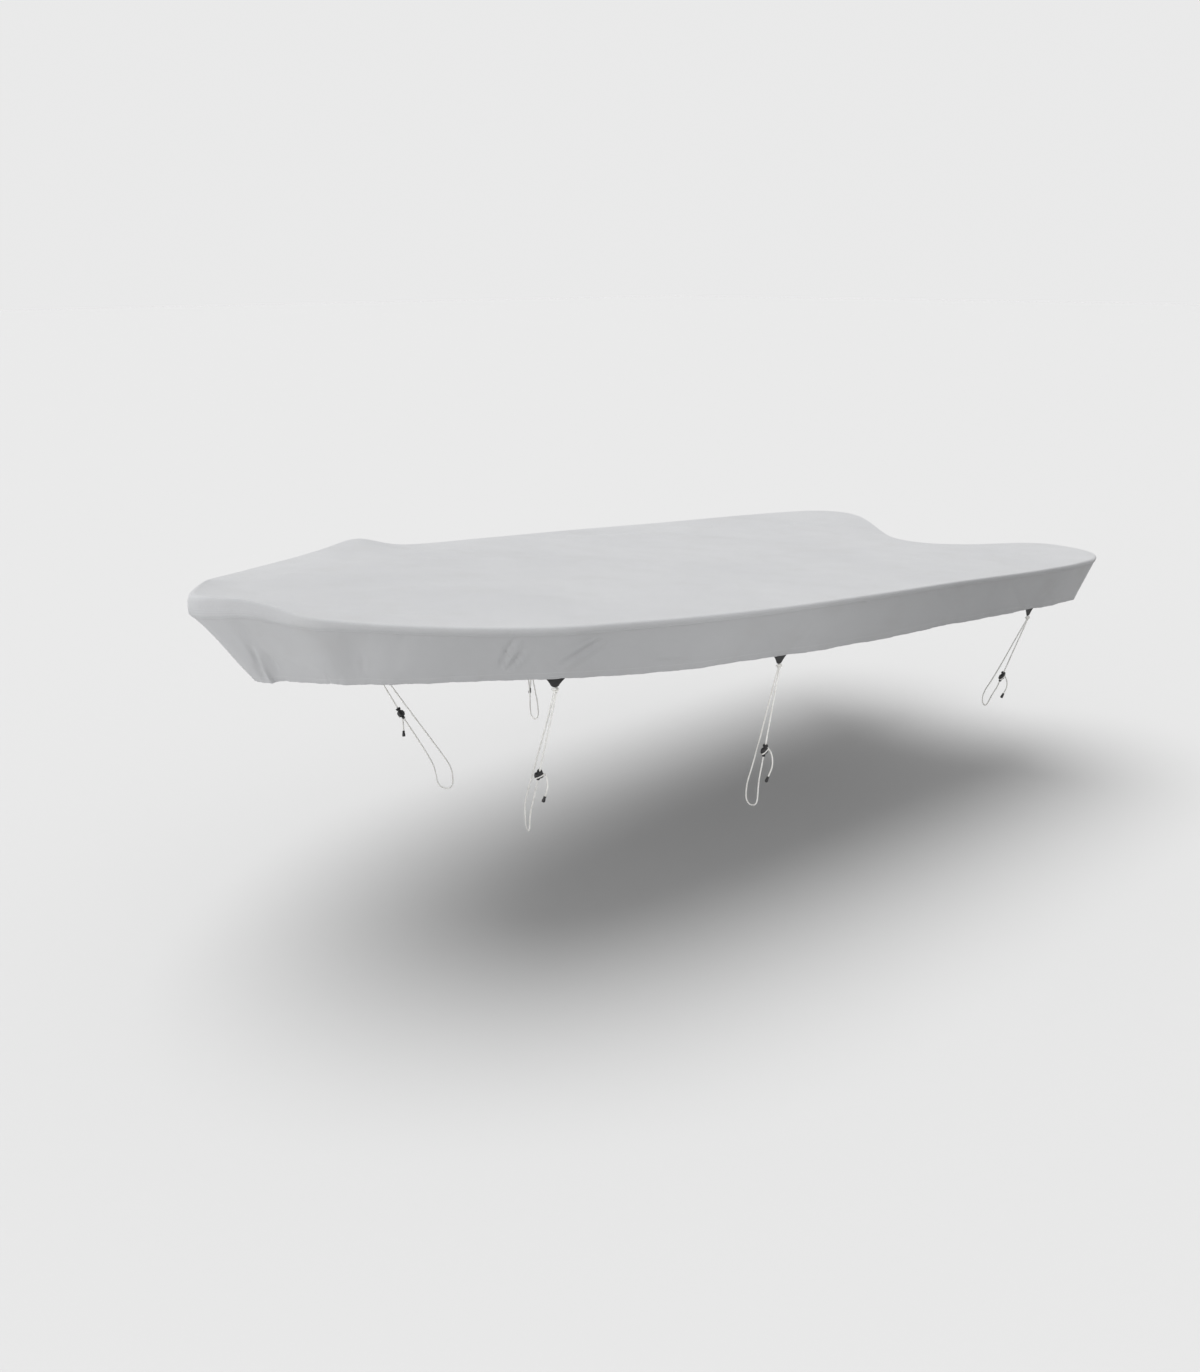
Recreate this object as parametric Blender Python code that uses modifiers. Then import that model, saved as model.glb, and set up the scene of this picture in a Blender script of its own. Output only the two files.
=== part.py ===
"""Fitted cover for an open dinghy: a top cloth, two side skirts and six cord ties.

Metres, +Z up. The bow points to -X and port is -Y. The origin is the middle of the top
cloth's underside, where the boat holds the cover up. The cover is hollow: the boat goes in
from below, and the outboard motor stands in the cut-out of the stern edge.
"""
import math

import bmesh
import bpy
from mathutils import Matrix, Vector

COLLECTION = "boat_cover"
CUTTERS = COLLECTION + "_cutters"
TINY = 1e-6

# ---- cloth ----
CLOTH = 0.0015          # thickness of one layer
GAP = 0.0004            # space left between pieces that are sewn or tied together
HEM_HIGH = 0.028        # height of the doubled hem
SKIRT_TOP = 0.003       # how far below the roll the skirt's cloth begins, behind the flange
UNDERSIDE_LIFT = 0.0032  # brings the middle of the top cloth's underside to z = 0

# ---- rim: one row for each section round half of the rim, from the stem to the motor ----
# x, half: plan of the top edge; high: its height; out, drop: the roll outside it;
# soft: how round the roll is, from 1 for a quarter ellipse to less for a squarer edge;
# flange: length turned down below the roll; skirt, lean: how far the hem lies below and
# inboard of the roll's lower edge; skew: how far the edge lies aft on the port side and
# forward on the starboard side, at the motor and a little the other way at the nose.
COLUMNS = ("x", "half", "high", "out", "drop", "soft", "flange", "skirt", "lean", "skew")
RIM = (
    (-2.152, 0.000, 0.224, 0.026, 0.062, 0.60, 0.012, 0.262, 0.194, 0.000),
    (-2.112, 0.082, 0.225, 0.014, 0.060, 0.60, 0.012, 0.264, 0.178, -0.008),
    (-2.056, 0.152, 0.222, 0.010, 0.051, 0.60, 0.012, 0.266, 0.176, -0.013),
    (-1.996, 0.238, 0.202, 0.010, 0.044, 0.62, 0.012, 0.253, 0.162, -0.009),
    (-1.944, 0.332, 0.180, 0.013, 0.032, 0.66, 0.012, 0.227, 0.146, -0.004),
    (-1.850, 0.414, 0.163, 0.013, 0.022, 0.72, 0.012, 0.221, 0.128, 0.000),
    (-1.700, 0.520, 0.145, 0.013, 0.020, 0.75, 0.012, 0.200, 0.107, 0.000),
    (-1.450, 0.672, 0.123, 0.013, 0.020, 0.75, 0.012, 0.180, 0.086, 0.000),
    (-1.240, 0.773, 0.111, 0.014, 0.019, 0.75, 0.012, 0.178, 0.071, 0.000),
    (-1.090, 0.797, 0.098, 0.014, 0.018, 0.75, 0.012, 0.181, 0.067, 0.000),
    (-0.850, 0.802, 0.068, 0.012, 0.016, 0.80, 0.012, 0.185, 0.063, 0.000),
    (-0.450, 0.836, 0.033, 0.010, 0.014, 0.80, 0.012, 0.191, 0.060, 0.000),
    (0.100, 0.861, -0.008, 0.009, 0.012, 0.80, 0.012, 0.196, 0.055, 0.000),
    (0.750, 0.868, -0.056, 0.008, 0.011, 0.80, 0.012, 0.190, 0.055, 0.000),
    (1.400, 0.889, -0.104, 0.008, 0.011, 0.80, 0.012, 0.191, 0.062, 0.000),
    (1.750, 0.876, -0.128, 0.010, 0.012, 0.80, 0.012, 0.194, 0.066, 0.000),
    (1.935, 0.842, -0.140, 0.013, 0.014, 0.80, 0.012, 0.200, 0.072, 0.004),
    (2.034, 0.788, -0.147, 0.014, 0.014, 0.80, 0.012, 0.206, 0.078, 0.012),
    (2.082, 0.700, -0.150, 0.013, 0.014, 0.80, 0.012, 0.209, 0.082, 0.026),
    (2.074, 0.606, -0.150, 0.012, 0.014, 0.80, 0.012, 0.208, 0.082, 0.046),
    (2.044, 0.512, -0.151, 0.011, 0.013, 0.80, 0.014, 0.206, 0.078, 0.072),
    (1.984, 0.412, -0.154, 0.010, 0.012, 0.80, 0.026, 0.200, 0.070, 0.084),
    (1.888, 0.300, -0.160, 0.010, 0.012, 0.80, 0.030, 0.200, 0.070, 0.070),
    (1.796, 0.165, -0.170, 0.010, 0.012, 0.80, 0.030, 0.200, 0.070, 0.046),
    (1.755, 0.000, -0.176, 0.010, 0.012, 0.80, 0.030, 0.200, 0.070, 0.000),
)
BOW_CORNER = 4          # rows of the table where the stem's front ends,
STERN_CORNER = 17       # where the side turns into the stern,
MOTOR_CORNER = 20       # and where the skirt stops beside the motor's cut-out
STEM_LONG = 0.30        # over this length from the stem the skirt turns from leaning straight
                        # aft to leaning square to its edge

SIDE_STEPS = 40         # sections along a side
SIDE_CROWDING = 0.40    # how much closer they stand at its ends than on average
END_STEPS = 9           # sections on half of the bow and half of the stern,
TRANSOM_STEPS = 4       # of which these lie between the stern corner and the motor's cut-out
ROLL_STEPS = 3          # rings round the roll

# ---- unevenness of the skirts: one row for each place that swells or is drawn in ----
# x and wide place it along the boat; belly and hem are its depths, outwards, half-way down
# the skirt and at the hem.
SWELL_COLUMNS = ("x", "wide", "belly", "hem")
SWELLS = (
    (-1.845, 0.045, -0.009, -0.004),
    (-1.700, 0.100, 0.009, 0.004),
    (-1.500, 0.050, -0.003, 0.002),
    (-1.295, 0.090, -0.003, -0.005),
    (-0.780, 0.260, 0.004, 0.005),
    (-0.300, 0.120, -0.002, -0.004),
    (0.560, 0.420, 0.003, 0.005),
    (1.435, 0.130, -0.002, -0.004),
)

# ---- top cloth ----
CROWN = 0.020           # rise of the middle at the bow, which fades to the stern
SAG = 0.012             # fall of the middle between the ends
NOSE_FADE = 5.0         # powers that fade the bow's and the stern's outline along the cloth
STERN_FADE = 9.0

# ---- lift where the cloth passes over the starboard cleat ----
LIFT_X, LIFT_LONG, LIFT_WIDE, LIFT_HIGH = -1.095, 0.125, 0.110, 0.030
LIFT_FROM = 0.80        # distance from the centre line beyond which the lift is whole
LIFT_FOOT = -0.06       # height where the lift has faded out of the skirt below it
LIFT_FADE = 0.12        # height over which it fades

# ---- tabs, knots and cords ----
TAB_TOP, TAB_TIP, TAB_LONG, TAB_THICK = 0.072, 0.024, 0.034, 0.0024
TAB_SEWN = 0.012        # length of tab behind the hem
TAB_ROUND, TAB_SOFT = 0.005, 0.0015     # the long and the short side of its cut corners
TAB_UPRIGHT = 2.0       # how much nearer to plumb than to the skirt's slope a tab hangs
TAB_GAP = 0.0008        # space between the flat tab and the curved hem
KNOT = (0.0120, 0.0080, 0.0115)     # half sizes along the hem, through it and down
KNOT_BASE = 0.0085      # height of the knot's centre above its flat base
KNOT_CORNERS = 0.6      # how far its four corners are pulled out, from 0 for a plain ball
CORD = 0.006            # diameter
STRAND = 0.0038         # half the distance between a tie's two strands below its knot
SPACING = 3 * CORD      # distance between the points that a tube takes from its curve
TAIL_SPACING = 2 * CORD

# ---- cord lock and end cap ----
LOCK_WIDE, LOCK_HIGH, LOCK_DEEP = 0.034, 0.026, 0.020
BUTTON_R, BUTTON_HIGH, NUB_R, NUB_HIGH = 0.0100, 0.014, 0.0065, 0.011
LOCK_ROUND = 0.006      # corners of the barrel
BUTTON_NECK = 0.003     # how much thinner the button's stem is, and how high it stands
BUTTON_SKIRT = 0.006    # height of the button's lower edge above the barrel
EDGE_ROUND = 0.002      # cut edges of the button, nub and cap
CAP_R, CAP_THROAT, CAP_HIGH = 0.0065, 0.0045, 0.024
ROUND_STEPS = 12
CAP_BELL = 0.62         # share of the cap's height where it is widest

# ---- ties ----
# Each route is a hand-set list of (inboard, aft, down) distances from the knot's centre.
# The long strand goes behind and under the trailer's rail and comes up to the lock.
TIES = {
    "fore": {
        "x": -1.273,
        "heading": 64.2,
        "lock": (0.262, 0.000, 0.402),
        "long": (
            (0.070, -0.0038, 0.098), (0.150, -0.0038, 0.196),
            (0.235, -0.0038, 0.298), (0.320, -0.0038, 0.400), (0.405, -0.0038, 0.500),
            (0.462, -0.0038, 0.570), (0.482, -0.0038, 0.602), (0.489, -0.0038, 0.632),
            (0.489, -0.0038, 0.664), (0.483, -0.0038, 0.683), (0.470, -0.0038, 0.694),
            (0.453, -0.0038, 0.697), (0.436, -0.0038, 0.694), (0.423, -0.0038, 0.684),
            (0.416, -0.0036, 0.666), (0.412, -0.0030, 0.642), (0.403, -0.0020, 0.610),
            (0.385, -0.0010, 0.576), (0.360, 0.0, 0.540), (0.325, 0.0, 0.490),
        ),
        "tail": (
            (0.256, 0.026, 0.409), (0.252, 0.028, 0.426), (0.251, 0.028, 0.446),
            (0.254, 0.025, 0.466), (0.257, 0.020, 0.483),
        ),
    },
    "mid": {
        "x": -0.277,
        "heading": 90.0,
        "lock": (0.054, 0.000, 0.352),
        "long": (
            (0.024, -0.0038, 0.098), (0.048, -0.0038, 0.194),
            (0.072, -0.0038, 0.290), (0.096, -0.0038, 0.382), (0.115, -0.0038, 0.450),
            (0.127, -0.0038, 0.490), (0.134, -0.0038, 0.525), (0.136, -0.0038, 0.560),
            (0.132, -0.0038, 0.579), (0.121, -0.0038, 0.591), (0.106, -0.0038, 0.594),
            (0.091, -0.0038, 0.589), (0.081, -0.0038, 0.577), (0.077, -0.0036, 0.558),
            (0.076, -0.0030, 0.528), (0.075, -0.0020, 0.494), (0.072, -0.0010, 0.462),
            (0.067, 0.0, 0.430),
        ),
        "tail": (
            (0.049, 0.028, 0.360), (0.043, 0.033, 0.380), (0.040, 0.034, 0.404),
            (0.041, 0.032, 0.428), (0.045, 0.027, 0.448), (0.048, 0.022, 0.463),
        ),
    },
    "aft": {
        "x": 1.432,
        "heading": 90.0,
        "lock": (0.099, 0.000, 0.308),
        "long": (
            (0.034, -0.0038, 0.082), (0.068, -0.0038, 0.160),
            (0.104, -0.0038, 0.242), (0.139, -0.0038, 0.318), (0.162, -0.0038, 0.364),
            (0.175, -0.0038, 0.390), (0.183, -0.0038, 0.414), (0.186, -0.0038, 0.436),
            (0.184, -0.0038, 0.454), (0.176, -0.0038, 0.465), (0.164, -0.0036, 0.464),
            (0.155, -0.0032, 0.450), (0.148, -0.0026, 0.430), (0.139, -0.0018, 0.408),
            (0.128, -0.0008, 0.384), (0.119, 0.0, 0.366),
        ),
        "tail": (
            (0.094, 0.027, 0.316), (0.087, 0.030, 0.334), (0.084, 0.030, 0.355),
            (0.087, 0.026, 0.376), (0.092, 0.021, 0.393),
        ),
    },
}
SIDES = {"port": -1.0, "starboard": 1.0}

CLOTH_COLOUR = (0.560, 0.565, 0.575, 1.0)
BLACK = (0.012, 0.012, 0.013, 1.0)
WHITE = (0.820, 0.820, 0.800, 1.0)


# ---------------------------------------------------------------- scene and materials

def clear_scene():
    """Remove the objects of the start-up scene."""
    for obj in list(bpy.data.objects):
        bpy.data.objects.remove(obj, do_unlink=True)


def make_material(name, colour, roughness):
    """Return a Principled material."""
    material = bpy.data.materials.new(name)
    material.use_nodes = True
    shader = material.node_tree.nodes["Principled BSDF"]
    shader.inputs["Base Color"].default_value = colour
    shader.inputs["Roughness"].default_value = roughness
    shader.inputs["Metallic"].default_value = 0.0
    material.diffuse_color = colour
    return material


def add_object(name, data, colour, roughness):
    """Put a mesh or curve into the cover's collection with a material of its own."""
    obj = bpy.data.objects.new(name, data)
    data.materials.append(make_material(name + "_finish", colour, roughness))
    bpy.data.collections[COLLECTION].objects.link(obj)
    return obj


def mesh_from(name, points, faces):
    """Return a smooth-shaded mesh whose faces point out of the closed shape."""
    mesh = bpy.data.meshes.new(name)
    mesh.from_pydata([tuple(p) for p in points], [], faces)
    mesh.update()
    mesh.shade_smooth()
    mesh.set_sharp_from_angle(angle=math.radians(40.0))
    return mesh


# ---------------------------------------------------------------- rim

def mirrored(row):
    """Return a rim row on the other side of the boat."""
    return (row[0], -row[1]) + tuple(row[2:-1]) + (-row[-1],)


ROWS = (mirrored(RIM[1]),) + RIM + (mirrored(RIM[-2]),)


def row_distances():
    """Return each row's distance round the rim, measured in plan from the stem."""
    distances = [-math.dist(ROWS[0][:2], ROWS[1][:2]), 0.0]
    for before, after in zip(ROWS[1:], ROWS[2:]):
        distances.append(distances[-1] + math.dist(before[:2], after[:2]))
    return distances


DISTANCES = row_distances()


def slope(index):
    """Return the slope of every column at one row, from its two neighbours."""
    step_in = DISTANCES[index] - DISTANCES[index - 1]
    step_out = DISTANCES[index + 1] - DISTANCES[index]
    slopes = []
    for before, here, after in zip(ROWS[index - 1], ROWS[index], ROWS[index + 1]):
        rise_in = (here - before) / step_in
        rise_out = (after - here) / step_out
        slopes.append((rise_in * step_out + rise_out * step_in) / (step_in + step_out))
    return slopes


def rim_values(distance):
    """Return the named columns at a distance round the rim, on a smooth curve."""
    index = 1
    while index < len(ROWS) - 3 and DISTANCES[index + 1] < distance:
        index += 1
    span = DISTANCES[index + 1] - DISTANCES[index]
    t = (distance - DISTANCES[index]) / span
    start = 2 * t ** 3 - 3 * t ** 2 + 1
    leave = (t ** 3 - 2 * t ** 2 + t) * span
    end = 3 * t ** 2 - 2 * t ** 3
    arrive = (t ** 3 - t ** 2) * span
    values = [start * a + leave * m + end * b + arrive * n for a, m, b, n
              in zip(ROWS[index], slope(index), ROWS[index + 1], slope(index + 1))]
    return dict(zip(COLUMNS, values))


def row_distance(row):
    """Return the distance round the rim of a row of the table."""
    return DISTANCES[row + 1]


def edge_point(distance, side):
    """Return the point of the top edge in plan, at a distance round the rim on one side."""
    values = rim_values(min(max(distance, 0.0), row_distance(len(RIM) - 1)))
    return Vector((values["x"] - side * values["skew"], side * values["half"], 0.0))


def outward(distance, side):
    """Return the rim's outward direction in plan on one side."""
    step = 0.002
    if distance < step:
        return Vector((-1.0, 0.0, 0.0))
    along = edge_point(distance + step, side) - edge_point(distance - step, side)
    return Vector((-side * along.y, side * along.x, 0.0)).normalized()


def spread(first, last, steps):
    """Return evenly spaced values from first to last."""
    return [first + (last - first) * k / steps for k in range(steps + 1)]


BOW_SECTIONS = spread(0.0, row_distance(BOW_CORNER), END_STEPS)
SIDE_SHARES = [k / SIDE_STEPS - SIDE_CROWDING * math.sin(math.tau * k / SIDE_STEPS) / math.tau
               for k in range(SIDE_STEPS + 1)]
SIDE_SECTIONS = [row_distance(BOW_CORNER) * (1.0 - share) + row_distance(STERN_CORNER) * share
                 for share in SIDE_SHARES]
TRANSOM_SECTIONS = spread(row_distance(STERN_CORNER), row_distance(MOTOR_CORNER),
                          TRANSOM_STEPS)
STERN_SECTIONS = TRANSOM_SECTIONS + spread(row_distance(MOTOR_CORNER),
                                           row_distance(len(RIM) - 1),
                                           END_STEPS - TRANSOM_STEPS)[1:]


def lift(x, y):
    """Return how far the cloth is lifted by what it passes over on the starboard side."""
    if y < 0.0:
        return 0.0
    inboard = max(LIFT_FROM - y, 0.0)
    return (LIFT_HIGH * math.exp(-((x - LIFT_X) / LIFT_LONG) ** 2)
            * math.exp(-(inboard / LIFT_WIDE) ** 2))


class Section:
    """One section of the cover's edge: the roll, the flange and the skirt below it."""

    def __init__(self, distance, side):
        self.values = rim_values(distance)
        self.out = outward(distance, side)
        self.rim = edge_point(distance, side)
        self.rim.z = self.values["high"] + UNDERSIDE_LIFT
        skirt, lean = self.values["skirt"], self.values["lean"]
        turned = min(max(distance, 0.0) / STEM_LONG, 1.0)
        way = Vector((self.out.x, self.out.y * turned, 0.0)).normalized()
        self.down = (Vector((0.0, 0.0, -skirt)) - way * lean).normalized()
        self.length = math.hypot(skirt, lean)
        self.face = Vector((self.out.x * skirt, self.out.y * skirt,
                            -lean * self.out.dot(way))).normalized()

    def roll(self, angle):
        """Return a point of the roll, from 0 at the top edge to 90 degrees at the seam."""
        aside = max(math.sin(angle), 0.0) ** self.values["soft"]
        above = max(math.cos(angle), 0.0) ** self.values["soft"]
        return (self.rim + self.out * self.values["out"] * aside
                - Vector((0.0, 0.0, 1.0)) * self.values["drop"] * (1.0 - above))

    def swell(self, below):
        """Return how far the skirt swells at a distance below the seam."""
        flange = self.values["flange"]
        share = min(max((below - flange) / (self.length - flange), 0.0), 1.0)
        depth = 0.0
        for row in SWELLS:
            place = dict(zip(SWELL_COLUMNS, row))
            near = math.exp(-((self.values["x"] - place["x"]) / place["wide"]) ** 2)
            depth += near * (place["belly"] * math.sin(math.pi * share)
                             + place["hem"] * share ** 2)
        return depth

    def skirt(self, below, inside):
        """Return a point of the skirt, given its distances below the seam and inside."""
        edge = self.roll(math.pi / 2)
        return edge + self.down * below + self.face * (self.swell(below) - inside)


# ---------------------------------------------------------------- top cloth

def between(a, b, share):
    """Return the point that lies a share of the way from a to b."""
    return a * (1.0 - share) + b * share


def top_grid():
    """Return rows of points over the top cloth, from the bow's edge to the stern's."""
    rims = {}
    for side in SIDES.values():
        rims[side] = [[Section(d, side).rim for d in part]
                      for part in (BOW_SECTIONS, SIDE_SECTIONS, STERN_SECTIONS)]
    bow = rims[-1.0][0][::-1] + rims[1.0][0][1:]
    stern = rims[-1.0][2] + rims[1.0][2][-2::-1]
    grid = []
    for row in range(SIDE_STEPS + 1):
        aft = SIDE_SHARES[row]
        port, starboard = rims[-1.0][1][row], rims[1.0][1][row]
        line = []
        for column in range(2 * END_STEPS + 1):
            across = column / (2 * END_STEPS)
            point = between(port, starboard, across)
            bow_part = bow[column] - between(bow[0], bow[-1], across)
            stern_part = stern[column] - between(stern[0], stern[-1], across)
            point += bow_part * (1.0 - aft) ** NOSE_FADE + stern_part * aft ** STERN_FADE
            middle = 1.0 - (2.0 * across - 1.0) ** 2
            ends = 4.0 * aft * (1.0 - aft)
            point.z += middle * ends * (CROWN * (1.0 - aft) - SAG)
            point.z += lift(point.x, point.y)
            line.append(point)
        grid.append(line)
    return grid


def edge_sections():
    """Return the sections round the whole rim, in the order of the grid's edge."""
    port = [Section(d, -1.0) for d in BOW_SECTIONS[::-1]]
    starboard = [Section(d, 1.0) for d in BOW_SECTIONS[1:] + SIDE_SECTIONS[1:]]
    stern = [Section(d, 1.0) for d in STERN_SECTIONS[1:]]
    stern += [Section(d, -1.0) for d in STERN_SECTIONS[-2::-1]]
    back = [Section(d, -1.0) for d in SIDE_SECTIONS[-2:0:-1]]
    return port + starboard + stern + back


def grid_edge(rows, columns):
    """Return the grid's edge points as indices, in the order of edge_sections."""
    edge = [column for column in range(columns)]
    edge += [row * columns + columns - 1 for row in range(1, rows)]
    edge += [(rows - 1) * columns + column for column in range(columns - 2, -1, -1)]
    edge += [row * columns for row in range(rows - 2, 0, -1)]
    return edge


def add_top_cloth():
    """Build the top cloth with its rolled edge and turned-down flange as one sheet."""
    grid = top_grid()
    rows, columns = len(grid), len(grid[0])
    points = [point for line in grid for point in line]
    faces = []
    for row in range(rows - 1):
        for column in range(columns - 1):
            a = row * columns + column
            faces.append((a, a + columns, a + columns + 1, a + 1))
    ring = grid_edge(rows, columns)
    sections = edge_sections()
    levels = [("roll", math.pi / 2 * k / ROLL_STEPS) for k in range(1, ROLL_STEPS + 1)]
    levels.append(("flange", 0.0))
    for kind, angle in levels:
        start = len(points)
        for section in sections:
            if kind == "roll":
                point = section.roll(angle)
            else:
                point = section.skirt(section.values["flange"], 0.0)
            point.z += lift(point.x, point.y)
            points.append(point)
        after = list(range(start, start + len(sections)))
        for k in range(len(ring)):
            n = (k + 1) % len(ring)
            faces.append((ring[k], ring[n], after[n], after[k]))
        ring = after
    cloth = add_object("top_cloth", mesh_from("top_cloth", points, faces), CLOTH_COLOUR, 0.85)
    thick = cloth.modifiers.new("thickness", "SOLIDIFY")
    thick.thickness = CLOTH
    thick.offset = -1.0
    thick.use_even_offset = True


# ---------------------------------------------------------------- side skirts

def skirt_outline(section):
    """Return the closed outline of the skirt's cloth at one section, hem doubled."""
    inside = CLOTH + GAP
    length = section.length
    hem_top = length - HEM_HIGH
    overlap = section.values["flange"]
    outer = [SKIRT_TOP, overlap, overlap + (hem_top - overlap) / 3,
             overlap + 2 * (hem_top - overlap) / 3, hem_top, length]
    outline = [section.skirt(below, inside) for below in outer]
    outline.append(section.skirt(length, inside + 2 * CLOTH))
    outline.append(section.skirt(hem_top, inside + 2 * CLOTH))
    for below in outer[-2::-1]:
        outline.append(section.skirt(below, inside + CLOTH))
    for point in outline:
        share = min(1.0, max(0.0, (point.z - LIFT_FOOT) / LIFT_FADE))
        point.z += lift(point.x, point.y) * share
    return outline


# the faces that close a skirt's end, as places in skirt_outline: four across the cloth,
# then three over the doubled hem
SKIRT_END = ((0, 1, 11, 12), (1, 2, 10, 11), (2, 3, 9, 10), (3, 4, 8, 9),
             (4, 5, 8), (5, 6, 8), (6, 7, 8))


def add_skirt(name, side):
    """Build one side skirt, from the stem round the stern corner to the motor's cut-out."""
    distances = BOW_SECTIONS + SIDE_SECTIONS[1:] + TRANSOM_SECTIONS[1:]
    points, faces = [], []
    for distance in distances:
        for point in skirt_outline(Section(distance, side)):
            point.y = side * max(side * point.y, GAP / 2)
            points.append(point)
    count = len(skirt_outline(Section(0.0, side)))
    for k in range(len(distances) - 1):
        for m in range(count):
            a, b = k * count + m, k * count + (m + 1) % count
            # the outer wall runs down and the inner one back up, so they're split along
            # the same diagonal and stay apart where the skirt twists
            if m < count // 2:
                faces += [(a, b, b + count), (a, b + count, a + count)]
            else:
                faces += [(a, b, a + count), (b, b + count, a + count)]
    last = (len(distances) - 1) * count
    for end in SKIRT_END:
        faces.append(end[::-1])
        faces.append(tuple(last + k for k in end))
    if side > 0.0:
        faces = [face[::-1] for face in faces]
    add_object(name, mesh_from(name, points, faces), CLOTH_COLOUR, 0.85)


# ---------------------------------------------------------------- tabs and knots

def hem_point(x, side, inside):
    """Return the point at x along the hem's flat pieces, and the skirt's slope there."""
    sections = [Section(distance, side) for distance in SIDE_SECTIONS]
    for before, after in zip(sections, sections[1:]):
        start = before.skirt(before.length, inside)
        end = after.skirt(after.length, inside)
        if end.x >= x:
            share = (x - start.x) / (end.x - start.x)
            return between(start, end, share), between(before.down, after.down, share)
    raise ValueError("no hem at this x")


def flat_outline(name, corners, thickness, frame, colour, roughness):
    """Build a flat piece from its outline, as a filled curve."""
    curve = bpy.data.curves.new(name, "CURVE")
    curve.dimensions = "2D"
    curve.fill_mode = "BOTH"
    curve.extrude = thickness / 2
    curve.resolution_u = 1
    spline = curve.splines.new("POLY")
    spline.points.add(len(corners) - 1)
    for point, corner in zip(spline.points, corners):
        point.co = (corner[0], corner[1], 0.0, 1.0)
    spline.use_cyclic_u = True
    piece = add_object(name, curve, colour, roughness)
    piece.matrix_world = frame
    return piece


def tab_corners():
    """Return the tab's outline: a wide sewn edge above, and a rounded tip below."""
    wide, tip = TAB_TOP / 2, TAB_TIP / 2
    right = [(wide, TAB_SEWN), (wide, 0.0), (tip + TAB_SOFT, -TAB_LONG + TAB_ROUND),
             (tip - TAB_SOFT, -TAB_LONG + TAB_SOFT), (tip - TAB_ROUND, -TAB_LONG)]
    return right + [(-x, y) for x, y in right[::-1]]


def axes_frame(right, up, place):
    """Return a frame at a place, with x to the right and y as near to up as it can be."""
    facing = right.cross(up).normalized()
    frame = Matrix((right, facing.cross(right), facing)).transposed().to_4x4()
    frame.translation = place
    return frame


def knot_mesh(name):
    """Return a knot: a ball pulled out to soft corners, flat where the strands leave."""
    shape = bmesh.new()
    bmesh.ops.create_uvsphere(shape, u_segments=10, v_segments=6, radius=1.0)
    for vertex in shape.verts:
        spread_out = abs(vertex.co.x) + abs(vertex.co.z)
        round_out = math.hypot(vertex.co.x, vertex.co.z)
        pull = (round_out / spread_out) ** KNOT_CORNERS if spread_out > TINY else 1.0
        vertex.co.x *= pull * KNOT[0]
        vertex.co.y *= KNOT[1]
        vertex.co.z = max(vertex.co.z * pull * KNOT[2], -KNOT_BASE)
    mesh = bpy.data.meshes.new(name)
    shape.to_mesh(mesh)
    shape.free()
    mesh.shade_smooth()
    return mesh


def tie_frame(tie, side):
    """Return the tie's axes: inboard along its heading, and aft across it."""
    heading = math.radians(tie["heading"])
    inboard = Vector((math.cos(heading), -side * math.sin(heading), 0.0))
    aft = Vector((math.sin(heading), side * math.cos(heading), 0.0))
    return inboard, aft


def placed(route, tie, side, knot):
    """Return a route's points in the cover's axes."""
    inboard, aft = tie_frame(tie, side)
    down = Vector((0.0, 0.0, -1.0))
    return [knot + inboard * p[0] + aft * p[1] + down * p[2] for p in route]


def strand_start(knot, tab_down, towards, beside):
    """Return where a strand leaves the knot's base, with its square end just clear of it."""
    along = (towards - knot).normalized()
    slant = tab_down.cross(along).length
    return knot + beside + tab_down * (KNOT_BASE + GAP + CORD / 2 * slant)


# ---------------------------------------------------------------- cords

def curve_points(route, spacing):
    """Return points at an even spacing on a smooth curve through the route's points."""
    padded = [route[0] * 2 - route[1]] + list(route) + [route[-1] * 2 - route[-2]]
    dense = [route[0]]
    for p0, p1, p2, p3 in zip(padded, padded[1:], padded[2:], padded[3:]):
        for k in range(1, 9):
            t = k / 8
            dense.append(0.5 * (2 * p1 + (p2 - p0) * t
                                + (2 * p0 - 5 * p1 + 4 * p2 - p3) * t ** 2
                                + (3 * p1 - p0 - 3 * p2 + p3) * t ** 3))
    total = sum((b - a).length for a, b in zip(dense, dense[1:]))
    steps = max(2, round(total / spacing))
    even, walked, target = [dense[0]], 0.0, total / steps
    for a, b in zip(dense, dense[1:]):
        length = (b - a).length
        while walked + length >= target - TINY and len(even) < steps:
            even.append(between(a, b, (target - walked) / length))
            target += total / steps
        walked += length
    return even + [dense[-1]]


def add_cord(name, route, spacing):
    """Build a cord's plain tube along its route, with its ends cut square."""
    points = curve_points(route, spacing)
    points.insert(1, route[0] + (route[1] - route[0]).normalized() * CORD / 2)
    points.insert(-1, route[-1] + (route[-2] - route[-1]).normalized() * CORD / 2)
    curve = bpy.data.curves.new(name, "CURVE")
    curve.dimensions = "3D"
    curve.bevel_depth = CORD / 2
    curve.bevel_resolution = 2
    curve.use_fill_caps = True
    spline = curve.splines.new("POLY")
    spline.points.add(len(points) - 1)
    for point, place in zip(spline.points, points):
        point.co = (place.x, place.y, place.z, 1.0)
    add_object(name, curve, WHITE, 0.7)


# ---------------------------------------------------------------- lock and end cap

def turned(name, profile, steps):
    """Return a turned object from a profile of (radius, height) points, top to bottom."""
    mesh = bpy.data.meshes.new(name)
    points = [(radius, 0.0, height) for radius, height in profile]
    mesh.from_pydata(points, [(k, k + 1) for k in range(len(points) - 1)], [])
    obj = bpy.data.objects.new(name, mesh)
    bpy.data.collections[COLLECTION].objects.link(obj)
    screw = obj.modifiers.new("turn", "SCREW")
    screw.steps = steps
    screw.render_steps = steps
    screw.use_merge_vertices = True
    screw.merge_threshold = 0.00005
    return obj


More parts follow.
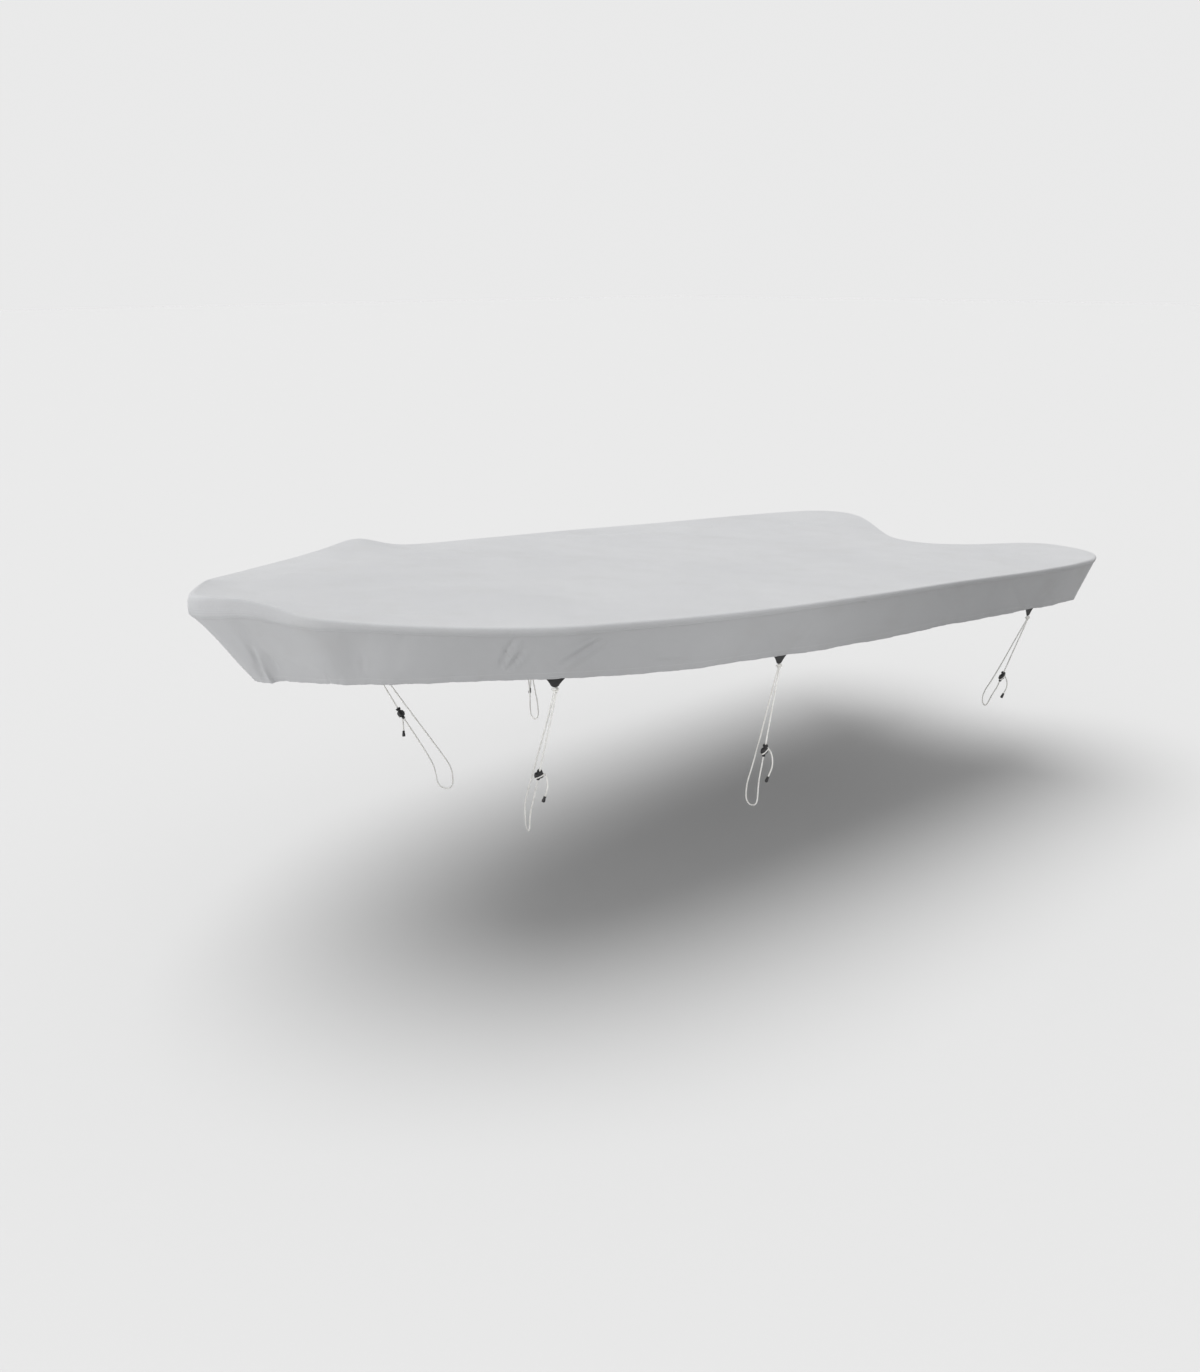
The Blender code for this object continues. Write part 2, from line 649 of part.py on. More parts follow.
def applied_mesh(obj):
    """Return the object's evaluated mesh and remove the object."""
    depsgraph = bpy.context.evaluated_depsgraph_get()
    mesh = bpy.data.meshes.new_from_object(obj.evaluated_get(depsgraph))
    bpy.data.objects.remove(obj, do_unlink=True)
    return mesh


def lock_mesh():
    """Return the cord lock: a rounded barrel with its button above and a nub below."""
    top = LOCK_HIGH / 2
    stem = BUTTON_R - BUTTON_NECK
    core = turned("lock_core", (
        (0.0, top + BUTTON_HIGH), (BUTTON_R - EDGE_ROUND, top + BUTTON_HIGH),
        (BUTTON_R, top + BUTTON_HIGH - EDGE_ROUND), (BUTTON_R, top + BUTTON_SKIRT),
        (stem, top + BUTTON_NECK), (stem, -top - EDGE_ROUND),
        (NUB_R, -top - BUTTON_NECK), (NUB_R, -top - NUB_HIGH + EDGE_ROUND),
        (NUB_R - EDGE_ROUND, -top - NUB_HIGH), (0.0, -top - NUB_HIGH)), ROUND_STEPS)
    core_mesh = applied_mesh(core)
    core = bpy.data.objects.new("lock_core", core_mesh)
    bpy.data.collections[CUTTERS].objects.link(core)
    core.hide_render = True
    core.display_type = "WIRE"
    shape = bmesh.new()
    bmesh.ops.create_cube(shape, size=1.0)
    bmesh.ops.scale(shape, vec=(LOCK_WIDE, LOCK_DEEP, LOCK_HIGH), verts=shape.verts)
    bmesh.ops.bevel(shape, geom=shape.edges[:], offset=LOCK_ROUND, segments=1,
                    profile=0.5, affect="EDGES")
    mesh = bpy.data.meshes.new("lock_barrel")
    shape.to_mesh(mesh)
    shape.free()
    barrel = bpy.data.objects.new("lock_barrel", mesh)
    bpy.data.collections[COLLECTION].objects.link(barrel)
    union = barrel.modifiers.new("join", "BOOLEAN")
    union.operation = "UNION"
    union.object = core
    bpy.context.view_layer.update()
    joined = applied_mesh(barrel)
    bpy.data.objects.remove(core, do_unlink=True)
    joined.name = "lock"
    joined.materials.clear()
    joined.shade_smooth()
    joined.set_sharp_from_angle(angle=math.radians(45.0))
    return joined


def cap_mesh():
    """Return the end cap, a small bell that closes the cord's free end."""
    cap = turned("cap", (
        (0.0, 0.0), (CAP_THROAT, 0.0), (CAP_THROAT + EDGE_ROUND / 2, -EDGE_ROUND),
        (CAP_R, -CAP_HIGH * CAP_BELL), (CAP_R, -CAP_HIGH + EDGE_ROUND),
        (CAP_R - EDGE_ROUND, -CAP_HIGH), (0.0, -CAP_HIGH)), ROUND_STEPS)
    mesh = applied_mesh(cap)
    mesh.materials.clear()
    mesh.shade_smooth()
    mesh.set_sharp_from_angle(angle=math.radians(45.0))
    return mesh


def hang(name, mesh, place, along, across):
    """Place a copy of a mesh with its -Z along a direction and its X across it."""
    piece = add_object(name, mesh.copy(), BLACK, 0.55)
    up = -along.normalized()
    front = up.cross(across).normalized()
    frame = Matrix((front.cross(up), front, up)).transposed().to_4x4()
    frame.translation = place
    piece.matrix_world = frame


def add_tie(place, side_name, lock, cap):
    """Build one tie: its tab, knot, two strands, lock, tail and end cap."""
    tie, side = TIES[place], SIDES[side_name]
    label = place + "_" + side_name
    inside = 3 * CLOTH + GAP + TAB_GAP + TAB_THICK / 2
    start, slope_start = hem_point(tie["x"] - TAB_TOP / 2, side, inside)
    end, slope_end = hem_point(tie["x"] + TAB_TOP / 2, side, inside)
    across, hem = (end - start).normalized(), between(start, end, 0.5)
    skirt_down = between(slope_start, slope_end, 0.5).normalized()
    tab_down = (skirt_down + Vector((0.0, 0.0, -TAB_UPRIGHT))).normalized()
    flat_outline("tab_" + label, tab_corners(), TAB_THICK,
                 axes_frame(across, -tab_down, hem), BLACK, 0.8)
    knot = hem + tab_down * (TAB_LONG + GAP + KNOT[2])
    ball = add_object("knot_" + label, knot_mesh("knot_" + label), WHITE, 0.7)
    ball.matrix_world = axes_frame(across, across.cross(tab_down), knot)
    inboard, aft = tie_frame(tie, side)
    lock_place = placed([tie["lock"]], tie, side, knot)[0]
    below = LOCK_HIGH / 2 + NUB_HIGH + GAP
    above = LOCK_HIGH / 2 + BUTTON_HIGH + GAP
    long_route = placed(tie["long"], tie, side, knot)
    long_route.insert(0, strand_start(knot, tab_down, long_route[0], -STRAND * aft))
    start = strand_start(knot, tab_down, lock_place, STRAND * aft)
    axis = (lock_place - start).normalized()
    long_route.append(lock_place + axis * below)
    add_cord("strand_short_" + label, [start, lock_place - axis * above], SPACING)
    add_cord("strand_long_" + label, long_route, SPACING)
    hang("lock_" + label, lock, lock_place, axis, aft)
    leave = lock_place + aft * (LOCK_WIDE / 2 + GAP)
    tail = [leave, leave + aft * CORD] + placed(tie["tail"], tie, side, knot)
    add_cord("tail_" + label, tail, TAIL_SPACING)
    end = (tail[-1] - tail[-2]).normalized()
    hang("cap_" + label, cap, tail[-1] + end * GAP, end, aft)


# ---------------------------------------------------------------- build

def main():
    """Build every piece of the cover."""
    clear_scene()
    for name in (COLLECTION, CUTTERS):
        bpy.context.scene.collection.children.link(bpy.data.collections.new(name))
    add_top_cloth()
    for side_name, side in SIDES.items():
        add_skirt("skirt_" + side_name, side)
    lock, cap = lock_mesh(), cap_mesh()
    for place in TIES:
        for side_name in SIDES:
            add_tie(place, side_name, lock, cap)


main()
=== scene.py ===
"""Looks for the fitted boat cover: fine cloth with its folds, stitches, tabs, cords and locks."""
import math

import bpy
from mathutils import Matrix, Vector


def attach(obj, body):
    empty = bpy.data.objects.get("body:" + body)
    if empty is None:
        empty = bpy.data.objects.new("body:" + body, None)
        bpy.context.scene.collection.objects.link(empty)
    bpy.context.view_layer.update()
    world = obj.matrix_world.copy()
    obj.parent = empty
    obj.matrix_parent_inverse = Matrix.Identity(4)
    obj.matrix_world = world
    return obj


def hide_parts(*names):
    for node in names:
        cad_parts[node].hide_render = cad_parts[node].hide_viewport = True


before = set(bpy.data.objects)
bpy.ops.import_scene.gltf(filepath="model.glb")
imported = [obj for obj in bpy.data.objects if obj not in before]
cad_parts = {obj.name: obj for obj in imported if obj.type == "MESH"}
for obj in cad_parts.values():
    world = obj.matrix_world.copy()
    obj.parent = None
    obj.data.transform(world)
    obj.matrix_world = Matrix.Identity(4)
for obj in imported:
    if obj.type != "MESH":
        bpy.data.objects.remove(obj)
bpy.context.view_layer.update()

# Sizes are in metres. X runs aft along the boat, Y to starboard and Z up. Down to the ties'
# routes they are the sizes of the part's own source, so that cloth and solids coincide.

# ---- cloth ----
CLOTH = 0.0015          # thickness of one layer
GAP = 0.0004            # space left between pieces that are sewn or tied together
HEM_HIGH = 0.028        # height of the doubled hem
SKIRT_TOP = 0.003       # how far below the roll the skirt's cloth begins, behind the flange
UNDERSIDE_LIFT = 0.0032  # brings the middle of the top cloth's underside to z = 0

# ---- rim: one row for each section round half of the rim, from the stem to the motor ----
# x, half: plan of the top edge; high: its height; out, drop: the roll outside it;
# soft: how round the roll is, from 1 for a quarter ellipse to less for a squarer edge;
# flange: length turned down below the roll; skirt, lean: how far the hem lies below and
# inboard of the roll's lower edge; skew: how far the edge lies aft on the port side and
# forward on the starboard side, at the motor and a little the other way at the nose.
COLUMNS = ("x", "half", "high", "out", "drop", "soft", "flange", "skirt", "lean", "skew")
RIM = (
    (-2.152, 0.000, 0.224, 0.026, 0.062, 0.60, 0.012, 0.262, 0.194, 0.000),
    (-2.112, 0.082, 0.225, 0.014, 0.060, 0.60, 0.012, 0.264, 0.178, -0.008),
    (-2.056, 0.152, 0.222, 0.010, 0.051, 0.60, 0.012, 0.266, 0.176, -0.013),
    (-1.996, 0.238, 0.202, 0.010, 0.044, 0.62, 0.012, 0.253, 0.162, -0.009),
    (-1.944, 0.332, 0.180, 0.013, 0.032, 0.66, 0.012, 0.227, 0.146, -0.004),
    (-1.850, 0.414, 0.163, 0.013, 0.022, 0.72, 0.012, 0.221, 0.128, 0.000),
    (-1.700, 0.520, 0.145, 0.013, 0.020, 0.75, 0.012, 0.200, 0.107, 0.000),
    (-1.450, 0.672, 0.123, 0.013, 0.020, 0.75, 0.012, 0.180, 0.086, 0.000),
    (-1.240, 0.773, 0.111, 0.014, 0.019, 0.75, 0.012, 0.178, 0.071, 0.000),
    (-1.090, 0.797, 0.098, 0.014, 0.018, 0.75, 0.012, 0.181, 0.067, 0.000),
    (-0.850, 0.802, 0.068, 0.012, 0.016, 0.80, 0.012, 0.185, 0.063, 0.000),
    (-0.450, 0.836, 0.033, 0.010, 0.014, 0.80, 0.012, 0.191, 0.060, 0.000),
    (0.100, 0.861, -0.008, 0.009, 0.012, 0.80, 0.012, 0.196, 0.055, 0.000),
    (0.750, 0.868, -0.056, 0.008, 0.011, 0.80, 0.012, 0.190, 0.055, 0.000),
    (1.400, 0.889, -0.104, 0.008, 0.011, 0.80, 0.012, 0.191, 0.062, 0.000),
    (1.750, 0.876, -0.128, 0.010, 0.012, 0.80, 0.012, 0.194, 0.066, 0.000),
    (1.935, 0.842, -0.140, 0.013, 0.014, 0.80, 0.012, 0.200, 0.072, 0.004),
    (2.034, 0.788, -0.147, 0.014, 0.014, 0.80, 0.012, 0.206, 0.078, 0.012),
    (2.082, 0.700, -0.150, 0.013, 0.014, 0.80, 0.012, 0.209, 0.082, 0.026),
    (2.074, 0.606, -0.150, 0.012, 0.014, 0.80, 0.012, 0.208, 0.082, 0.046),
    (2.044, 0.512, -0.151, 0.011, 0.013, 0.80, 0.014, 0.206, 0.078, 0.072),
    (1.984, 0.412, -0.154, 0.010, 0.012, 0.80, 0.026, 0.200, 0.070, 0.084),
    (1.888, 0.300, -0.160, 0.010, 0.012, 0.80, 0.030, 0.200, 0.070, 0.070),
    (1.796, 0.165, -0.170, 0.010, 0.012, 0.80, 0.030, 0.200, 0.070, 0.046),
    (1.755, 0.000, -0.176, 0.010, 0.012, 0.80, 0.030, 0.200, 0.070, 0.000),
)
BOW_CORNER = 4          # rows of the table where the stem's front ends,
STERN_CORNER = 17       # where the side turns into the stern,
MOTOR_CORNER = 20       # and where the skirt stops beside the motor's cut-out
STEM_LONG = 0.30        # over this length from the stem the skirt turns from leaning straight
                        # aft to leaning square to its edge
SIDE_STEPS = 40         # sections along a side of the plain solids
SIDE_CROWDING = 0.40    # how much closer sections stand at a side's ends than on average

# ---- unevenness of the skirts: one row for each place that swells or is drawn in ----
# The first two numbers place it along the boat, its x and breadth. The last two are its
# depths, outwards, half-way down the skirt and at the hem.
SWELLS = (
    (-1.845, 0.045, -0.009, -0.004),
    (-1.700, 0.100, 0.009, 0.004),
    (-1.500, 0.050, -0.003, 0.002),
    (-1.295, 0.090, -0.003, -0.005),
    (-0.780, 0.260, 0.004, 0.005),
    (-0.300, 0.120, -0.002, -0.004),
    (0.560, 0.420, 0.003, 0.005),
    (1.435, 0.130, -0.002, -0.004),
)

# ---- top cloth ----
CROWN = 0.020           # rise of the middle at the bow, which fades to the stern
SAG = 0.012             # fall of the middle between the ends
NOSE_FADE = 5.0         # powers that fade the bow's and the stern's outline along the cloth
STERN_FADE = 9.0

# ---- lift where the cloth passes over something hard on the starboard side ----
LIFT_X, LIFT_LONG, LIFT_WIDE, LIFT_HIGH = -1.095, 0.125, 0.110, 0.030
LIFT_FROM = 0.80        # distance from the centre line beyond which the lift is whole
LIFT_FOOT = -0.06       # height where the lift has faded out of the skirt below it
LIFT_FADE = 0.12        # height over which it fades

# ---- tabs, knots, cords, locks and end caps ----
TAB_TOP, TAB_TIP, TAB_LONG, TAB_THICK = 0.072, 0.024, 0.034, 0.0024
TAB_SEWN = 0.012        # length of tab behind the hem
TAB_UPRIGHT = 2.0       # how much nearer to plumb than to the skirt's slope a tab hangs
TAB_GAP = 0.0008        # space between the flat tab and the curved hem
KNOT = (0.0120, 0.0080, 0.0115)     # half sizes along the hem, through it and down
KNOT_BASE = 0.0085      # height of the knot's centre above its flat base
CORD = 0.006            # diameter
STRAND = 0.0038         # half the distance between a tie's two strands below its knot
LOCK_WIDE, LOCK_HIGH, LOCK_DEEP = 0.034, 0.026, 0.020
BUTTON_R, BUTTON_HIGH, NUB_R, NUB_HIGH = 0.0100, 0.014, 0.0065, 0.011
CAP_R, CAP_THROAT, CAP_HIGH = 0.0065, 0.0045, 0.024

# ---- ties ----
# Each route is a list of (inboard, aft, down) distances from the knot's centre.
# The long strand goes behind and under the trailer's rail and comes up to the lock.
TIES = {
    "fore": {
        "x": -1.273,
        "heading": 64.2,
        "lock": (0.262, 0.000, 0.402),
        "long": (
            (0.070, -0.0038, 0.098), (0.150, -0.0038, 0.196),
            (0.235, -0.0038, 0.298), (0.320, -0.0038, 0.400), (0.405, -0.0038, 0.500),
            (0.462, -0.0038, 0.570), (0.482, -0.0038, 0.602), (0.489, -0.0038, 0.632),
            (0.489, -0.0038, 0.664), (0.483, -0.0038, 0.683), (0.470, -0.0038, 0.694),
            (0.453, -0.0038, 0.697), (0.436, -0.0038, 0.694), (0.423, -0.0038, 0.684),
            (0.416, -0.0036, 0.666), (0.412, -0.0030, 0.642), (0.403, -0.0020, 0.610),
            (0.385, -0.0010, 0.576), (0.360, 0.0, 0.540), (0.325, 0.0, 0.490),
        ),
        "tail": (
            (0.256, 0.026, 0.409), (0.252, 0.028, 0.426), (0.251, 0.028, 0.446),
            (0.254, 0.025, 0.466), (0.257, 0.020, 0.483),
        ),
    },
    "mid": {
        "x": -0.277,
        "heading": 90.0,
        "lock": (0.054, 0.000, 0.352),
        "long": (
            (0.024, -0.0038, 0.098), (0.048, -0.0038, 0.194),
            (0.072, -0.0038, 0.290), (0.096, -0.0038, 0.382), (0.115, -0.0038, 0.450),
            (0.127, -0.0038, 0.490), (0.134, -0.0038, 0.525), (0.136, -0.0038, 0.560),
            (0.132, -0.0038, 0.579), (0.121, -0.0038, 0.591), (0.106, -0.0038, 0.594),
            (0.091, -0.0038, 0.589), (0.081, -0.0038, 0.577), (0.077, -0.0036, 0.558),
            (0.076, -0.0030, 0.528), (0.075, -0.0020, 0.494), (0.072, -0.0010, 0.462),
            (0.067, 0.0, 0.430),
        ),
        "tail": (
            (0.049, 0.028, 0.360), (0.043, 0.033, 0.380), (0.040, 0.034, 0.404),
            (0.041, 0.032, 0.428), (0.045, 0.027, 0.448), (0.048, 0.022, 0.463),
        ),
    },
    "aft": {
        "x": 1.432,
        "heading": 90.0,
        "lock": (0.099, 0.000, 0.308),
        "long": (
            (0.034, -0.0038, 0.082), (0.068, -0.0038, 0.160),
            (0.104, -0.0038, 0.242), (0.139, -0.0038, 0.318), (0.162, -0.0038, 0.364),
            (0.175, -0.0038, 0.390), (0.183, -0.0038, 0.414), (0.186, -0.0038, 0.436),
            (0.184, -0.0038, 0.454), (0.176, -0.0038, 0.465), (0.164, -0.0036, 0.464),
            (0.155, -0.0032, 0.450), (0.148, -0.0026, 0.430), (0.139, -0.0018, 0.408),
            (0.128, -0.0008, 0.384), (0.119, 0.0, 0.366),
        ),
        "tail": (
            (0.094, 0.027, 0.316), (0.087, 0.030, 0.334), (0.084, 0.030, 0.355),
            (0.087, 0.026, 0.376), (0.092, 0.021, 0.393),
        ),
    },
}
SIDES = {"port": -1.0, "starboard": 1.0}

# ---- creases of the skirts ----
# Both ends, each as a distance round the rim and a distance below the seam; breadth; depth,
# inwards; and how high a ridge stands beside it, on the side of the larger distance.
CREASES = {
    "port": (
        (0.122, 0.165, 0.075, 0.290, 0.013, 0.0088, 0.35),
        (0.181, 0.190, 0.173, 0.262, 0.008, 0.0050, 0.4),
        (0.235, 0.170, 0.400, 0.220, 0.050, -0.0075, 0.0),
        (0.537, 0.125, 0.530, 0.200, 0.006, 0.0026, 0.4),
        (0.660, 0.040, 0.630, 0.190, 0.020, 0.0016, 0.3),
        (1.010, 0.026, 0.974, 0.145, 0.009, 0.0092, 0.7),
        (1.046, 0.074, 0.994, 0.158, 0.008, 0.0082, 0.7),
        (1.304, 0.046, 1.182, 0.132, 0.009, 0.0108, 0.7),
        (1.288, 0.024, 1.228, 0.056, 0.007, 0.0056, 0.6),
        (1.125, 0.120, 1.178, 0.185, 0.012, 0.0020, 0.4),
        (1.565, 0.150, 1.690, 0.160, 0.012, 0.0030, 0.5),
        (1.860, 0.020, 1.990, 0.115, 0.018, 0.0016, 0.4),
        (2.100, 0.090, 2.155, 0.170, 0.012, 0.0022, 0.5),
        (2.245, 0.175, 2.330, 0.070, 0.014, 0.0020, 0.5),
        (2.640, 0.125, 2.900, 0.150, 0.016, 0.0012, 0.4),
        (3.060, 0.030, 3.230, 0.120, 0.022, 0.0014, 0.4),
        (3.640, 0.050, 3.780, 0.160, 0.014, 0.0016, 0.5),
        (3.960, 0.165, 4.080, 0.060, 0.015, 0.0018, 0.5),
        (4.330, 0.020, 4.350, 0.170, 0.012, 0.0020, 0.5),
        (4.500, 0.040, 4.470, 0.190, 0.014, 0.0024, 0.5),
    ),
    "starboard": (
        (0.128, 0.150, 0.100, 0.298, 0.013, 0.0070, 0.5),
        (0.180, 0.170, 0.176, 0.255, 0.009, 0.0036, 0.4),
        (0.240, 0.160, 0.345, 0.225, 0.050, -0.0050, 0.0),
        (0.560, 0.060, 0.545, 0.200, 0.010, 0.0020, 0.3),
        (0.985, 0.040, 1.090, 0.150, 0.010, 0.0034, 0.6),
        (1.050, 0.022, 1.118, 0.100, 0.008, 0.0028, 0.6),
        (1.330, 0.045, 1.220, 0.140, 0.011, 0.0038, 0.6),
        (1.420, 0.050, 1.395, 0.165, 0.012, 0.0022, 0.5),
        (1.720, 0.140, 1.840, 0.158, 0.014, 0.0022, 0.5),
        (2.060, 0.070, 2.140, 0.165, 0.012, 0.0026, 0.5),
        (2.300, 0.060, 2.225, 0.170, 0.012, 0.0022, 0.5),
        (2.760, 0.060, 2.930, 0.130, 0.020, 0.0014, 0.4),
        (3.420, 0.130, 3.600, 0.100, 0.018, 0.0014, 0.4),
        (3.700, 0.040, 3.800, 0.160, 0.013, 0.0022, 0.5),
        (4.050, 0.050, 3.950, 0.165, 0.014, 0.0020, 0.5),
        (4.380, 0.030, 4.360, 0.180, 0.012, 0.0022, 0.5),
    ),
}

# ---- creases and hollows of the top ----
# Both ends in plan, breadth, depth, and how high a ridge stands beside it.
FURROWS = (
    (0.060, 0.780, 0.520, 0.690, 0.060, 0.0090, 0.2),
    (0.640, 0.800, 0.820, 0.740, 0.045, 0.0040, 0.2),
    (-2.050, -0.090, -1.700, -0.330, 0.055, 0.0050, 0.4),
    (-2.040, 0.100, -1.720, 0.340, 0.055, 0.0045, 0.4),
    (-1.960, -0.240, -1.500, -0.480, 0.030, 0.0022, 0.5),
    (-1.060, 0.740, -0.620, 0.560, 0.045, 0.0040, 0.5),
    (-1.160, 0.720, -1.330, 0.430, 0.050, 0.0034, 0.5),
    (-1.020, 0.700, -0.900, 0.300, 0.060, 0.0026, 0.5),
    (-1.230, -0.740, -0.980, -0.420, 0.035, 0.0018, 0.5),
    (-0.420, -0.780, -0.130, -0.560, 0.032, 0.0016, 0.5),
    (0.900, -0.820, 0.640, -0.560, 0.040, 0.0016, 0.5),
    (1.560, -0.800, 1.280, -0.480, 0.040, 0.0022, 0.5),
    (1.820, -0.420, 1.450, -0.620, 0.040, 0.0030, 0.5),
    (1.770, 0.330, 1.400, 0.560, 0.045, 0.0030, 0.5),
    (1.740, -0.120, 1.300, -0.180, 0.050, 0.0022, 0.4),
    (0.350, -0.300, 1.050, 0.080, 0.120, 0.0030, 0.3),
    (-0.700, 0.150, 0.050, -0.200, 0.140, 0.0030, 0.3),
    (-1.550, 0.020, -0.850, -0.060, 0.090, 0.0028, 0.4),
    (-0.250, 0.480, 0.250, 0.360, 0.080, 0.0024, 0.4),
    (0.980, 0.420, 1.420, 0.300, 0.080, 0.0024, 0.4),
)

# ---- profile of every crease, with lengths in crease breadths ----
CREASE_REACH = 4.0      # how far to its sides a crease is felt
CREASE_END = 1.5        # how far beyond its ends it fades out
CREASE_LEAST = 0.45     # share of its depth that it has at its ends
CREASE_POWER = 0.7      # the lower, the sooner it is at full depth
BANK_AT, BANK_WIDE = 1.7, 1.2       # place and breadth of the ridge beside it
CREASE_HELD = 0.030     # metres below the seam over which a skirt's creases deepen
FURROW_LEAST = 0.25     # share of a furrow's depth that is left at the top's edge

# ---- small unevenness of sewn edges: (waves a metre, height, phase) ----
SEAM_WAVES = ((17.3, 0.00055, 0.4), (29.1, 0.00045, 1.9), (7.9, 0.00080, 2.7),
              (43.0, 0.00025, 5.1))
HEM_WAVES = ((3.1, 0.0016, 0.9), (7.7, 0.0011, 3.3), (19.0, 0.0006, 4.6), (33.0, 0.0004, 0.2))
# and of the top: (waves a metre along X, and along Y, height, phase)
TOP_WAVES = ((1.3, 0.9, 0.0012, 0.3), (2.9, 2.3, 0.0005, 1.7), (0.7, 3.7, 0.0007, 4.0),
             (4.9, 1.1, 0.0004, 2.6), (6.1, 5.3, 0.0002, 5.2))
TOP_HELD = 0.035        # share of the top's breadth over which its waves grow from the edge,
TOP_HELD_ENDS = 1.4     # and how much sooner they grow from its ends
PUCKER_HIGH = 0.035     # height below the seam over which its puckers fade
ROLL_PUCKER = 0.35      # share of the puckers that the roll above the seam takes
RIPPLE_HIGH = 0.060     # height above the hem over which its ripples fade
RIPPLE_SHIFT = 0.13     # shifts that keep the two sides' waves unlike each other
FLANGE_SHIFT = 0.07
DROOP, DROOP_OFTEN = 0.0012, 1.7    # how far the hem dips, and how many times a metre

HOLLOW = 0.009          # how far a stretched skirt draws in below its seam,
HOLLOW_END = 1.80       # up to this x, and less and less over this length before it
HOLLOW_FADE = 0.60

# ---- sewing ----
HEM_IN = 0.003          # stitches' distance below the doubled hem's upper edge,
SEAM_IN = 0.0035        # and above the flange's lower edge
HEM_PULL, HEM_PULL_WIDE = 0.0004, 0.0022    # depth and half breadth of the groove that the
SEAM_PULL, SEAM_PULL_WIDE = 0.0005, 0.0018  # stitches draw into the cloth
FLANGE_PROUD = 0.0004   # how far the flange's lower edge stands off the skirt
FLANGE_PUCKER = 0.4     # share of the seam's waves that it takes
STITCH_PROUD = 0.0002   # how far the middle of a stitch stands out of the cloth
STITCH, STITCH_GAP = 0.0034, 0.0044     # length of a stitch, and distance to the next one,
TAB_STITCH, TAB_STITCH_GAP = 0.0026, 0.0032     # and the same on a tab
TAB_BOX_IN = 0.004      # how far a tab's stitches lie in from its sides,
TAB_BOX_DOWN, TAB_BOX_UP = 0.0015, 0.0030       # down from its top, and up from the hem
THREAD, THREAD_SIDES = 0.0008, 6

# ---- how finely the cloths are made ----
FINE_BOW, FINE_SIDE, FINE_TRANSOM = 44, 330, 34     # steps along a skirt
SKIRT_RINGS, HEM_RINGS = 24, 5                      # steps down it, and down its hem
TOP_ROWS, TOP_COLUMNS = 230, 104
TOP_TRANSOM = TOP_COLUMNS // 2 * 4 // 9     # columns of half the top that end at the transom
ROLL_RINGS, FLANGE_RINGS = 9, 4
STERN_STEPS = 70        # steps of the seam's stitches round half of the motor's cut-out
CUT_STEPS, CUT_ROLL = 240, 6    # strips that a cut's area is summed over, along and round
FOLD_LOW = 0.0009       # how far the hem's fold hangs below the doubled cloth
FOLD_RUN = 0.002        # cloth's run in each of the three steps round that fold
ROLL_RUN, FLANGE_RUN = 0.020, 0.012     # cloth's run over the roll and down the flange
UP = Vector((0.0, 0.0, 1.0))
TINY = 1e-6


# ---------------------------------------------------------------- camera

EYE = Vector((-3.733, -3.6517, 1.1731))
RIGHT = Vector((0.7449, -0.6671, -0.0037)).normalized()
FORWARD = Vector((0.6323, 0.7078, -0.3149))
LENS, SENSOR = 32.83, 36.0      # millimetres


def link(obj):
    """Put an object in the scene and return it."""
    bpy.context.scene.collection.objects.link(obj)
    return obj


def axes_at(x, y, z, place):
    """Return a frame with three axes, at a place."""
    result = Matrix((x, y, z)).transposed().to_4x4()
    result.translation = place
    return result


def add_camera():
    """Set the camera in front of the port bow, a little above the cover."""
    data = bpy.data.cameras.new("camera")
    data.sensor_fit = "AUTO"
    data.sensor_width = SENSOR
    data.lens = LENS
    camera = link(bpy.data.objects.new("camera", data))
    forward = (FORWARD - RIGHT * FORWARD.dot(RIGHT)).normalized()
    camera.matrix_world = axes_at(RIGHT, RIGHT.cross(forward), -forward, EYE)
    bpy.context.scene.camera = camera


add_camera()


# ---------------------------------------------------------------- shape of the cover

def mirrored(row):
    """Return a rim row on the other side of the boat."""
    return (row[0], -row[1]) + tuple(row[2:-1]) + (-row[-1],)


ROWS = (mirrored(RIM[1]),) + RIM + (mirrored(RIM[-2]),)


def row_distances():
    """Return each row's distance round the rim, measured in plan from the stem."""
    distances = [-math.dist(ROWS[0][:2], ROWS[1][:2]), 0.0]
    for before, after in zip(ROWS[1:], ROWS[2:]):
        distances.append(distances[-1] + math.dist(before[:2], after[:2]))
    return distances


DISTANCES = row_distances()
BOW_END, SIDE_END, SKIRT_END, RIM_END = (
    DISTANCES[row + 1] for row in (BOW_CORNER, STERN_CORNER, MOTOR_CORNER, len(RIM) - 1))


def slope(index):
    """Return the slope of every column at one row, from its two neighbours."""
    step_in = DISTANCES[index] - DISTANCES[index - 1]
    step_out = DISTANCES[index + 1] - DISTANCES[index]
    slopes = []
    for before, here, after in zip(ROWS[index - 1], ROWS[index], ROWS[index + 1]):
        rise_in = (here - before) / step_in
        rise_out = (after - here) / step_out
        slopes.append((rise_in * step_out + rise_out * step_in) / (step_in + step_out))
    return slopes


SLOPES = [None] + [slope(k) for k in range(1, len(ROWS) - 1)] + [None]


def rim_values(distance):
    """Return the named columns at a distance round the rim, on a smooth curve."""
    index = 1
    while index < len(ROWS) - 3 and DISTANCES[index + 1] < distance:
        index += 1
    span = DISTANCES[index + 1] - DISTANCES[index]
    t = (distance - DISTANCES[index]) / span
    start = 2 * t ** 3 - 3 * t ** 2 + 1
    leave = (t ** 3 - 2 * t ** 2 + t) * span
    end = 3 * t ** 2 - 2 * t ** 3
    arrive = (t ** 3 - t ** 2) * span
    values = [start * a + leave * m + end * b + arrive * n for a, m, b, n
              in zip(ROWS[index], SLOPES[index], ROWS[index + 1], SLOPES[index + 1])]
    return dict(zip(COLUMNS, values))


